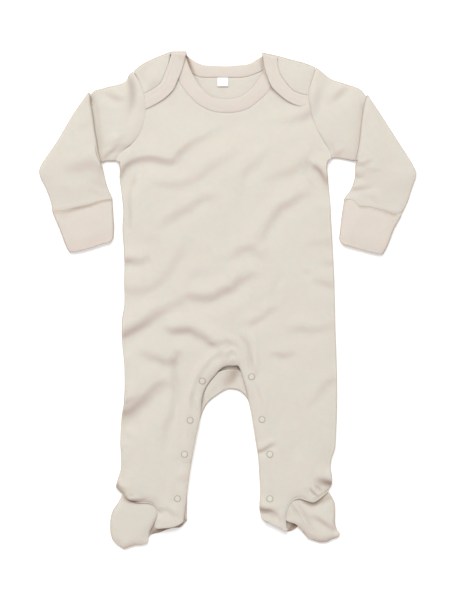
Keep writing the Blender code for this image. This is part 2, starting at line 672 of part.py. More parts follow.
def neck_label(tape, garment):
    """A small bare label on the back, under the neck seam."""
    form = bmesh.new()
    bmesh.ops.create_cube(form, size=1.0)
    size = (LABEL_WIDTH * MM, LABEL_DROP * MM, LABEL_WALL * MM)
    bmesh.ops.scale(form, vec=size, verts=form.verts)
    piece = add_piece("neck_label", form, tape, garment)
    height = CLOTH_WALL + LAYER_GAP + LABEL_WALL / 2
    piece.location = (LABEL_MIDDLE * MM, (LABEL_TOP - LABEL_DROP / 2) * MM, height * MM)
    rounded = piece.modifiers.new("Folded edges", "BEVEL")
    rounded.width = LABEL_EDGE * MM
    rounded.segments = 1


def main():
    for item in list(bpy.data.objects):
        bpy.data.objects.remove(item, do_unlink=True)
    garment = bpy.data.collections.new("footed_baby_sleepsuit")
    bpy.context.scene.collection.children.link(garment)
    cream = material(INTERLOCK)
    ribbed = material(RIB_KNIT)
    stud = material(PRESS_STUD)

    right, left = Outline("right"), Outline("left")
    back_body(right, left, cream, garment)
    front_body(right, left, cream, garment)
    neck_ribs(right, left, ribbed, garment)
    placket("back_placket", right.back_inner, left.back_inner, FRONT_LEVEL, cream, garment)
    placket("front_placket", right.front_inner, left.front_inner, FLAP_LEVEL, cream, garment)
    for outline in (right, left):
        sleeve(outline, cream, garment)
        cuff(outline, ribbed, garment)
        foot(outline, cream, garment)
        for number, (x, y) in enumerate(side_of(SNAPS, outline.side), 1):
            snap(outline.side, number, x, y, stud, garment)
    neck_label(material(TAPE), garment)


main()
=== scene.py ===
from math import cos, pi, sin, tau

import bmesh
import bpy
import numpy as np
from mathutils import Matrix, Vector, kdtree, noise
from mathutils.geometry import delaunay_2d_cdt


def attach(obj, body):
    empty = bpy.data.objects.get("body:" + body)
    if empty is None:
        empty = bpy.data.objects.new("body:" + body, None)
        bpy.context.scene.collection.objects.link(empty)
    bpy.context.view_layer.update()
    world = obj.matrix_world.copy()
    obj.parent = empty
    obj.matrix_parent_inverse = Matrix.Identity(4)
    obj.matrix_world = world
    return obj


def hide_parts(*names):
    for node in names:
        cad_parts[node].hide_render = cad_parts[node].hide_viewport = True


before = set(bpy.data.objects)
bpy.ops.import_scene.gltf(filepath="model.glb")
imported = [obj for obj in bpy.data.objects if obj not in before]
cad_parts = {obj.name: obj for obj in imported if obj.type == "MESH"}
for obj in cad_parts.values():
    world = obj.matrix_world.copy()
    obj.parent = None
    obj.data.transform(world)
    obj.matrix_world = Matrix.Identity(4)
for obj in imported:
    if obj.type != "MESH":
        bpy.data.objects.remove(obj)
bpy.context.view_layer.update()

# X runs across the garment, Y along it towards the neck, and Z up off the table. Lengths are in millimetres
# until a mesh is made. The wearer's right side lies at -X and the left side at +X.

cloth = {
    "wall": 1.2,  # double-knit cotton
    "ribWall": 1.5,
    "facingWall": 1.0,
    "tapeWall": 0.34,
    "seam": -0.2,  # two pieces that are sewn together run into each other by this much
    "layerGap": 0.3,  # air between two layers
    "edgeStep": 2.0,  # from point to point along an edge
    "frontStep": 2.1,  # and inside a panel that shows
    "backStep": 3.0,
    "rowStep": 0.866,  # from row to row of the points inside a panel, as a share of its step
    "edgeClear": 0.62,  # and how far they keep from its edge
    "rimSteps": 4,  # facets round a cut edge
    "backLevel": 0.6,  # the middle of the cloth that lies on the table
    "sideRadius": 1.65,  # the back turns up round the side
    "sideTurn": 0.44 * pi,  # as far as the seam, halfway up
    "sideSteps": 5,
    "foldRadius": 2.1,  # the shoulders turn over to the front
    "foldSteps": 8,
}
gapHalf = cloth["seam"] / 2
wallHalf = cloth["wall"] / 2
ribHalf = cloth["ribWall"] / 2
sideTop = cloth["backLevel"] + 2 * cloth["sideRadius"]

# The outlines of the pieces, from the neck down and from the outer side in.
edges = {
    "right": {
        "hand": -1,
        "armhole": [(-109, 263), (-103.5, 254.5), (-99.5, 244.5), (-96.5, 233), (-95, 221.5), (-95.5, 211),
            (-98.5, 199.5), (-103.5, 188), (-112, 178), (-122, 171), (-127, 165), (-129, 160.5)],
        "side": [(-125, 158), (-124.5, 149), (-125, 141), (-123, 126), (-120.5, 103), (-121.5, 82), (-119.5, 52.5),
            (-119.5, 22.5), (-119.5, -6.5), (-121.5, -19), (-122, -50), (-119.5, -73), (-119.5, -114.5),
            (-122.5, -134), (-124, -161.5), (-123, -184.5), (-123.5, -195), (-127, -206.5), (-129, -215.5),
            (-125.5, -219.5), (-121.5, -222.5)],
        "shoulder": [(-109, 263), (-99, 271), (-84, 278.5), (-65.5, 286)],
        "ribFold": [(-65.5, 286), (-57.5, 286.5), (-48.5, 286)],
        "overarm": [(-109, 263), (-113.5, 259.5), (-116, 253.5), (-120.5, 250), (-139, 245), (-158.5, 240)],
        "underarm": [(-129, 160.5), (-133.5, 160), (-141.5, 159.5), (-145.5, 157.5)],
        "pleat": [(-158.5, 240), (-157.5, 228.5), (-155, 214.5), (-153, 198.5), (-150.5, 183.5), (-148.5, 169.5),
            (-145.5, 157.5)],
        "sleeveOuter": [(-158.5, 240), (-177, 214.5), (-196.5, 182.5), (-217, 151), (-217, 144.5), (-209.5, 128),
            (-203.5, 111), (-202.5, 102)],
        "sleeveInner": [(-145.5, 157.5), (-143, 145.5), (-139, 130.5), (-135, 121.5), (-133, 116.5)],
        "cuffSeam": [(-202.5, 102), (-195.5, 102), (-187.5, 103), (-176, 106), (-158.5, 110), (-144, 114.5),
            (-133, 116.5)],
        "cuffOuter": [(-201, 98), (-193, 79), (-188, 65), (-184.5, 58), (-182, 54.5)],
        "cuffEnd": [(-182, 54.5), (-172.5, 56), (-156.5, 60.5), (-143, 65), (-135, 67), (-131.5, 71)],
        "cuffInner": [(-133, 115), (-132, 98.5), (-131, 85.5), (-131.5, 71)],
        "backInner": [(6, -103), (1, -103), (-4.5, -105), (-14, -111), (-24, -119.5), (-31, -135), (-35.5, -152.5),
            (-39, -169.5), (-42.5, -190.5), (-45.5, -210), (-47, -225), (-47, -236)],
        "frontInner": [(6, -75.5), (0, -75.5), (-7, -78), (-16, -87.5), (-23.5, -97), (-28.5, -107.5), (-30.5, -118),
            (-31.5, -129.5), (-32.5, -138.5), (-36, -154.5), (-39.5, -173), (-43, -191.5), (-45.5, -210),
            (-47.5, -226), (-49, -237.5), (-50.5, -248), (-51, -254.5)],
        "footSeam": [(-121.5, -222.5), (-116, -228.5), (-109, -231), (-101, -232.5), (-92, -232.5), (-86, -234),
            (-82, -238.5), (-80.5, -243)],
        "hem": [(-80.5, -243), (-81.5, -250), (-84.5, -258), (-83, -262), (-72.5, -262), (-62, -260.5),
            (-55, -257.5), (-51, -254.5)],
        "footOuter": [(-121.5, -222.5), (-126.5, -233), (-133, -243), (-135.5, -253.5), (-135.5, -266),
            (-133.5, -274.5), (-129, -280.5)],
        "footToe": [(-129, -280.5), (-124, -284), (-119.5, -286.5), (-115, -285), (-107, -282.5), (-99, -282),
            (-92.5, -279.5), (-91.5, -273.5)],
        "footInner": [(-81.5, -241), (-83.5, -249), (-87, -258), (-89.5, -266), (-91.5, -273.5)],
        "heel": [(-91.5, -273.5), (-88, -270), (-78, -267.5), (-69, -264), (-63, -262.5), (-55, -262), (-50.5, -258),
            (-47, -254)],
        "flapSeam": [(-98, 236.5), (-87.5, 242), (-78, 249), (-72.5, 260.5), (-69, 269.5), (-66, 283.5)],
        "flapFree": [(-94.5, 219.5), (-89.5, 221.5), (-78, 228), (-70, 234), (-62, 243), (-57.5, 253.5),
            (-54, 261.5), (-50.5, 273), (-48.5, 283.5)],
        "snaps": [(-29.5, -93), (-43.5, -138), (-50, -177), (-58, -228)],
    },
    "left": {
        "hand": 1,
        "armhole": [(101, 267.5), (98.5, 259.5), (95.5, 250), (93, 240), (92.5, 229.5), (95, 219), (98.5, 207.5),
            (103.5, 194), (111, 181), (116, 173.5), (118.5, 168.5), (119, 162.5)],
        "side": [(115.5, 160), (114, 153.5), (115, 141), (117.5, 114.5), (119, 85.5), (120.5, 59), (122.5, 16.5),
            (123.5, -29.5), (125, -74), (125.5, -115.5), (124, -160.5), (123, -171), (119.5, -181), (118, -191.5),
            (119.5, -203), (119.5, -212), (117.5, -216), (115, -219)],
        "shoulder": [(101, 267.5), (88.5, 272.5), (71.5, 277), (57.5, 281)],
        "ribFold": [(57.5, 281), (48.5, 284), (40, 284.5)],
        "overarm": [(101, 267.5), (107, 263), (118.5, 254.5), (134.5, 249), (149.5, 244), (158.5, 237.5)],
        "underarm": [(119, 162.5), (124, 163.5), (134.5, 162), (146, 159.5)],
        "pleat": [(158.5, 237.5), (156.5, 229.5), (154, 215.5), (152, 199.5), (150.5, 183.5), (148.5, 171),
            (146, 159.5)],
        "sleeveOuter": [(158.5, 237.5), (175, 213.5), (195.5, 182.5), (214, 153.5), (217, 145.5), (212.5, 130.5),
            (207, 113.5), (200.5, 99.5)],
        "sleeveInner": [(146, 159.5), (146.5, 146.5), (145, 136.5), (140.5, 126), (135.5, 119.5), (133.5, 115.5)],
        "cuffSeam": [(200.5, 99.5), (194.5, 98.5), (185, 101), (175, 104), (163.5, 107), (150.5, 108.5),
            (145, 113.5), (139, 116), (133.5, 115.5)],
        "cuffOuter": [(200, 97), (191.5, 82), (184.5, 64), (181, 57), (178, 52)],
        "cuffEnd": [(178, 52), (168, 54), (152, 58.5), (138, 62.5), (131, 65), (127.5, 70)],
        "cuffInner": [(133.5, 114), (131, 98.5), (129, 82), (127.5, 70)],
        "backInner": [(6, -103), (11.5, -104), (17, -107.5), (22, -113.5), (26, -127), (28.5, -142), (31.5, -161.5),
            (34.5, -180), (36, -202), (37, -219), (36, -236)],
        "frontInner": [(6, -75.5), (11.5, -75.5), (14.5, -81), (18.5, -93.5), (22, -106.5), (24.5, -119),
            (27.5, -134), (30.5, -152.5), (33.5, -172), (35.5, -190.5), (36.5, -210), (37, -227), (36, -238.5),
            (38, -250)],
        "footSeam": [(115, -219), (110, -223.5), (105, -228.5), (99, -232.5), (92, -230.5), (85, -227.5), (79, -227),
            (72.5, -230.5), (68.5, -236.5)],
        "hem": [(68.5, -236.5), (66.5, -244.5), (65, -252.5), (66, -259.5), (69, -263.5), (66.5, -265.5), (60, -262),
            (50.5, -257), (42.5, -253.5), (38, -250)],
        "footOuter": [(115, -219), (119.5, -226), (123, -234), (123.5, -245.5), (123.5, -257), (125.5, -264)],
        "footToe": [(125.5, -264), (129, -269.5), (126.5, -273), (119.5, -275.5), (114, -278.5), (106, -279),
            (99, -277), (92, -274.5)],
        "footInner": [(72.5, -234), (69, -243), (68, -251.5), (72.5, -254.5), (79.5, -258), (84, -264),
            (92, -274.5)],
        "heel": [(92, -274.5), (86, -267.5), (81.5, -260.5), (78, -263), (72.5, -266), (65.5, -266), (58.5, -262),
            (51.5, -258), (43.5, -255.5), (38.5, -251.5)],
        "flapSeam": [(92, 235.5), (86, 236.5), (76, 240), (68, 248), (61, 258), (57.5, 269.5), (57, 278.5)],
        "flapFree": [(93, 221.5), (83, 222.5), (71, 227), (60, 235), (50.5, 244.5), (45, 257), (41.5, 269.5),
            (40, 282)],
        "snaps": [(27, -88), (39, -137), (48, -177), (48, -228)],
    },
}
neckEdges = {
    "backSeam": [(-54, 269), (-40.5, 260.5), (-32, 257), (-15, 256.5), (2.5, 256.5), (19.5, 257), (31, 260.5),
        (39, 264), (50, 272)],
    "backFree": [(-40.5, 276.5), (-29, 271), (-15, 270), (-2.5, 269.5), (12, 270.5), (24, 272), (33, 277)],
    "frontSeam": [(-66, 280), (-63, 268), (-57.5, 253.5), (-49.5, 241), (-41.5, 231.5), (-32, 223.5), (-20.5, 218),
        (-9, 215.5), (4.5, 215.5), (14, 217), (25.5, 221.5), (37, 230.5), (48, 242), (54.5, 258), (57, 276)],
    "frontFree": [(-48.5, 280), (-45, 269.5), (-40.5, 259.5), (-32, 245.5), (-20.5, 235), (-9, 231.5), (2.5, 231.5),
        (14, 234), (25.5, 242), (33.5, 251.5), (39, 260.5), (41, 270), (41, 279)],
}


curveFineness = 24  # steps that a curve is measured by, from one given place to the next
batch = 4000  # places worked on at a time


def runAlong(places):
    # how far along a line each of its places lies
    return np.append(0, np.cumsum(np.linalg.norm(np.diff(places, axis=0), axis=1)))


def sampled(points, apart=None, steps=None):
    # evenly spaced places on a smooth curve through a few
    places = np.array(points, float)
    knots = np.append(0.0, np.cumsum(np.sqrt(np.linalg.norm(np.diff(places[:, :2], axis=0), axis=1))))
    slopes = np.gradient(places, knots, axis=0)
    fine = np.linspace(0, knots[-1], curveFineness * len(places))
    span = np.clip(np.searchsorted(knots, fine, side="right") - 1, 0, len(knots) - 2)
    length = (knots[span + 1] - knots[span])[:, None]
    t = (fine[:, None] - knots[span][:, None]) / length
    curve = (2 * t**3 - 3 * t**2 + 1) * places[span] + (t**3 - 2 * t**2 + t) * length * slopes[span]
    curve += (3 * t**2 - 2 * t**3) * places[span + 1] + (t**3 - t**2) * length * slopes[span + 1]
    run = runAlong(curve[:, :2])
    steps = steps or max(2, round(run[-1] / (apart or cloth["edgeStep"])))
    wanted = np.linspace(0, run[-1], steps + 1)
    return np.column_stack([np.interp(wanted, run, curve[:, k]) for k in range(curve.shape[1])])


def shares(edge):
    run = runAlong(edge[:, :2])
    return run / run[-1]


def lifted(edge, heights):
    # an edge given its height, one number or a short table of (share of its length, height)
    if isinstance(heights, (int, float)):
        heights = [(0, heights), (1, heights)]
    at, level = zip(*heights)
    return np.column_stack([edge[:, :2], np.interp(shares(edge), at, level)])


def shifted(edge, distance):
    # moved to the left of the way that it runs
    run = np.gradient(edge[:, :2], axis=0)
    run /= np.linalg.norm(run, axis=1, keepdims=True)
    moved = edge.copy()
    moved[:, :2] += distance * np.column_stack([-run[:, 1], run[:, 0]])
    return moved


def ease(amount):
    # from 0 to 1 with a soft start and end
    amount = np.clip(amount, 0, 1)
    return amount * amount * (3 - 2 * amount)


def rounded(amount):
    # from 0 to 1 with a steep start and a soft end
    amount = 1 - np.clip(amount, 0, 1)
    return 1 - amount * amount


def upwards(lift, soft=0.2):
    # only what rises, with a soft start
    return soft * (np.logaddexp(0, lift / soft) - np.log(2))


def floored(height, least, soft=0.5):
    return least + soft * np.logaddexp(0, (height - least) / soft)


def uneven(places, *kinds):
    # the slight unevenness of soft cloth, each kind with its size, height and seed
    total = 0
    for size, amount, seed in kinds:
        total = total + amount * np.array([noise.noise((x / size, y / size, seed)) for x, y in places[:, :2]])
    return total


def measured(places, line):
    # each place's distance from a line, above zero on the right of its run, and the line's strength there
    starts, runs = line[:-1, :2], np.diff(line[:, :2], axis=0)
    offset = places[:, None, :2] - starts
    share = np.clip((offset * runs).sum(-1) / (runs * runs).sum(-1), 0, 1)
    away = offset - share[..., None] * runs
    near = (away * away).sum(-1).argmin(1)
    rows = np.arange(len(places))
    away, run, share = away[rows, near], runs[near], share[rows, near]
    side = np.sign(away[:, 0] * run[:, 1] - away[:, 1] * run[:, 0])
    strength = line[near, -1] + share * (line[near + 1, -1] - line[near, -1])
    return np.linalg.norm(away, axis=1) * np.where(side == 0, 1, side), strength


def distance(places, line):
    found = [np.abs(measured(part, line)[0]) for part in np.array_split(places, len(places) // batch + 1)]
    return np.concatenate(found)


def beside(places, line, apart, reach):
    # the curve of a line, and which places lie so near that it may touch them
    curve = sampled(line, apart)
    low, high = curve[:, :2].min(0) - reach, curve[:, :2].max(0) + reach
    return curve, np.all((places[:, :2] > low) & (places[:, :2] < high), axis=1)


# Two edges of a panel are cut off where they cross, within some steps of their ends, or drawn out to there. A
# small gap is closed halfway instead, and places closer together than apart are left out.
cornering = {"search": 10, "drawnOut": 6.0, "closed": 1.5, "apart": 0.35}


def meeting(first, second):
    # the steps of two edges that cross nearest to their ends, and the place
    best, last = None, len(first) - 2
    for i in range(last, max(-1, last - cornering["search"]), -1):
        for j in range(min(len(second) - 1, cornering["search"])):
            p, r, q, s = first[i], first[i + 1] - first[i], second[j], second[j + 1] - second[j]
            turn = r[0] * s[1] - r[1] * s[0]
            if abs(turn) < 1e-6:
                continue
            t = ((q[0] - p[0]) * s[1] - (q[1] - p[1]) * s[0]) / turn
            u = ((q[0] - p[0]) * r[1] - (q[1] - p[1]) * r[0]) / turn
            after, before = (cornering["drawnOut"] / max(np.linalg.norm(way[:2]), 0.1) for way in (r, s))
            onFirst = t >= 0 and (t <= 1 or (i == last and t < 1 + after))
            onSecond = u <= 1 and (u >= 0 or (j == 0 and u > -before))
            if onFirst and onSecond and (best is None or last - i + j < best[0]):
                best = (last - i + j, i, j, (p + t * r + q + u * s) / 2)
    return best and best[1:]


def cornered(sides):
    # edges laid end to end round a panel, each cut or drawn out to where it meets the next
    sides = [np.array(side, float) for side in sides]
    for k, first in enumerate(sides):
        after = (k + 1) % len(sides)
        second, found = sides[after], meeting(first, sides[after])
        if found:
            i, j, corner = found
            sides[k] = np.vstack([first[: i + 1], corner])
            sides[after] = np.vstack([corner, second[j + 1 :]])
        elif np.linalg.norm((first[-1] - second[0])[:2]) < cornering["closed"]:
            corner = (first[-1] + second[0]) / 2
            sides[k][-1], sides[after][0] = corner, corner
    return [thinned(side) for side in sides]


def thinned(side):
    # without places that lie almost on the one before
    keep = [0]
    for k in range(1, len(side)):
        if np.linalg.norm((side[k] - side[keep[-1]])[:2]) > cornering["apart"]:
            keep.append(k)
    if keep[-1] != len(side) - 1:
        if len(keep) > 1:
            keep.pop()
        keep.append(len(side) - 1)
    return side[keep]


def looped(sides):
    places = np.vstack(sides)
    apart = np.linalg.norm(np.diff(np.vstack([places, places[:1]])[:, :2], axis=0), axis=1)
    return places[apart > 1e-6]


def within(places, loop):
    inside = np.zeros(len(places), bool)
    for a, b in zip(loop, np.roll(loop, -1, axis=0)):
        if a[1] == b[1]:
            continue
        crosses = (a[1] > places[:, 1]) != (b[1] > places[:, 1])
        inside ^= crosses & (places[:, 0] < a[0] + (places[:, 1] - a[1]) * (b[0] - a[0]) / (b[1] - a[1]))
    return inside


blending = {"power": 3.0, "nearest": 0.02}


def blended(places, border):
    # heights drawn smoothly across a panel from those along its border
    found = []
    for part in np.array_split(places, len(places) // batch + 1):
        away = np.linalg.norm(part[:, None, :2] - border[None, :, :2], axis=-1) + blending["nearest"]
        weight = away ** -blending["power"]
        found.append((weight * border[:, 2]).sum(1) / weight.sum(1))
    return np.concatenate(found)


def filled(loop, apart):
    # a border's own places and evenly spread ones inside it, with the triangles between them
    tree = kdtree.KDTree(len(loop))
    for k, place in enumerate(loop):
        tree.insert((place[0], place[1], 0), k)
    tree.balance()
    low, high = loop[:, :2].min(0), loop[:, :2].max(0)
    rows = np.arange(low[1] + apart / 2, high[1], apart * cloth["rowStep"])
    columns = np.arange(low[0], high[0], apart)
    spots = np.array([(x + (k % 2) * apart / 2, y) for k, y in enumerate(rows) for x in columns])
    spots = spots[within(spots, loop[:, :2])]
    clear = [tree.find((x, y, 0))[2] > cloth["edgeClear"] * apart for x, y in spots]
    flat = [Vector(place) for place in np.vstack([loop[:, :2], spots[clear]])]
    found = delaunay_2d_cdt(flat, [], [list(range(len(loop)))], 1, 1e-5)
    return np.array([tuple(place) for place in found[0]]), [tuple(face) for face in found[2]]


def panel(loop, apart, heightAt):
    # a filled border with its heights, and its place on the knit: across it and along it
    places, faces = filled(loop, apart)
    return np.column_stack([places[:, :2], heightAt(places), places[:, :2]]), faces


def gridPart(grid, closed=False):
    # rows of places and the faces between them; without a place on the knit they take their own
    grid = np.array(grid, float)
    if grid.shape[2] == 3:
        grid = np.concatenate([grid, grid[..., :2]], axis=2)
    rows, columns = grid.shape[:2]
    faces = []
    for i in range(rows - 1):
        for j in range(columns if closed else columns - 1):
            a, b = i * columns + j, i * columns + (j + 1) % columns
            faces.append((a, b, b + columns, a + columns))
    return grid.reshape(-1, grid.shape[2]), faces


def sewn(parts):
    # parts joined where they share places
    places, faces, known = [], [], {}
    for spots, cells in parts:
        index = []
        for spot in spots:
            key = tuple(np.round(spot[:3], 3))
            if key not in known:
                known[key] = len(places)
                places.append(spot)
            index.append(known[key])
        for cell in cells:
            around = [index[k] for k in cell]
            around = [c for k, c in enumerate(around) if c != around[k - 1]]
            if len(set(around)) > 2:
                faces.append(tuple(around))
    return np.array(places), faces


def turnedAlike(places, faces):
    # the faces with all of them turned the same way
    form = bmesh.new()
    corners = [form.verts.new(place[:3]) for place in places]
    for face in faces:
        try:
            form.faces.new([corners[k] for k in face])
        except ValueError:  # the same face twice
            pass
    bmesh.ops.recalc_face_normals(form, faces=form.faces)
    form.verts.index_update()
    found = [tuple(v.index for v in face.verts) for face in form.faces]
    form.free()
    return found


def scaled(vectors):
    return vectors / np.maximum(np.linalg.norm(vectors, axis=1, keepdims=True), 1e-9)


def thickened(places, faces, wall):
    # a wall grown to both sides of a sheet, with its cut edges rounded off
    faces = turnedAlike(places, faces)
    spots, half, count = places[:, :3], wall / 2, len(places)
    corners = np.array([(f[0], f[k], f[k + 1]) for f in faces for k in range(1, len(f) - 1)])
    across = np.cross(spots[corners[:, 1]] - spots[corners[:, 0]], spots[corners[:, 2]] - spots[corners[:, 0]])
    normals = np.zeros_like(spots)
    for k in range(3):
        np.add.at(normals, corners[:, k], across)
    normals = scaled(normals)
    links = np.array([(f[k], f[(k + 1) % len(f)]) for f in faces for k in range(len(f))])
    codes, back = links[:, 0] * count + links[:, 1], links[:, 1] * count + links[:, 0]
    border = links[~np.isin(back, codes)]
    outward = np.zeros_like(spots)
    run = scaled(spots[border[:, 1]] - spots[border[:, 0]])
    for k in range(2):
        np.add.at(outward, border[:, k], np.cross(run, normals[border[:, k]]))
    rim = np.unique(border)
    outward[rim] = scaled(outward[rim])
    layers = [places.copy(), places.copy()]
    layers[0][:, :3] += half * normals
    layers[1][:, :3] -= half * normals
    turns = cloth["rimSteps"]
    for turn in range(1, turns):
        angle = pi * turn / turns
        ring = places[rim].copy()
        ring[:, :3] += half * (cos(angle) * normals[rim] + sin(angle) * outward[rim])
        layers.append(ring)
    cells = list(faces) + [tuple(count + k for k in reversed(f)) for f in faces]
    at = {v: 2 * count + k for k, v in enumerate(rim)}
    for a, b in border:
        rows = [(a, b)] + [(turn * len(rim) + at[a], turn * len(rim) + at[b]) for turn in range(turns - 1)]
        rows.append((count + a, count + b))
        cells += [(upper[1], upper[0], lower[0], lower[1]) for upper, lower in zip(rows, rows[1:])]
    return np.vstack(layers), cells


# Painted shade: how much the colour is darkened on cloth that turns under and faces the table, and on slopes
# that face the lamp, against their highlight. The rims of cut edges lose only a share of the first.
paintedDimming = {"under": 0.45, "level": 0.94, "ease": 0.35, "rims": 0.25, "lit": 0.15, "litMore": 0.32}


def placed(name, data):
    thing = bpy.data.objects.new(name, data)
    bpy.context.scene.collection.objects.link(thing)
    return thing


def made(name, places, faces, slot, replaced=(), rimsFrom=None):
    # a piece with its place on the knit and its painted shade as attributes, which its finish reads
    mesh = bpy.data.meshes.new(name)
    mesh.from_pydata((places[:, :3] * 0.001).tolist(), [], faces)
    lie = mesh.attributes.new("lie", "FLOAT_VECTOR", "POINT")
    lie.data.foreach_set("vector", np.column_stack([places[:, 3:5], np.zeros(len(places))]).ravel())
    mesh.polygons.foreach_set("use_smooth", [True] * len(mesh.polygons))
    mesh.materials.append(finishes[slot])
    mesh.update()
    turned = np.zeros(3 * len(places))
    mesh.vertices.foreach_get("normal", turned)
    # Painted shade: darker where the cloth turns under and on slopes that face the lamp.
    d = paintedDimming
    depth = d["under"] * ease((d["level"] - np.abs(turned[2::3])) / d["ease"])
    depth[rimsFrom or len(places):] *= d["rims"]
    lit = np.clip(turned[1::3], 0, 1)
    depth += d["lit"] * lit + d["litMore"] * lit ** 2
    # Painted shade: the darker of the shade lines and the darkening of rims and lamp-facing slopes.
    depth = np.maximum(paintedShadeAt(places), depth)
    mesh.attributes.new("deep", "FLOAT", "POINT").data.foreach_set("value", depth)
    piece = placed(name, mesh)
    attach(piece, "root")
    if replaced:
        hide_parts(*replaced)
    return piece


def sheetOf(kind, parts, wall, slot, node, side=""):
    places, faces = sewn(parts)
    rimsFrom = 2 * len(places)
    places, faces = thickened(places, faces, wall)
    piece = made(kind + side.capitalize(), places, faces, slot, [node], rimsFrom)
    return piece
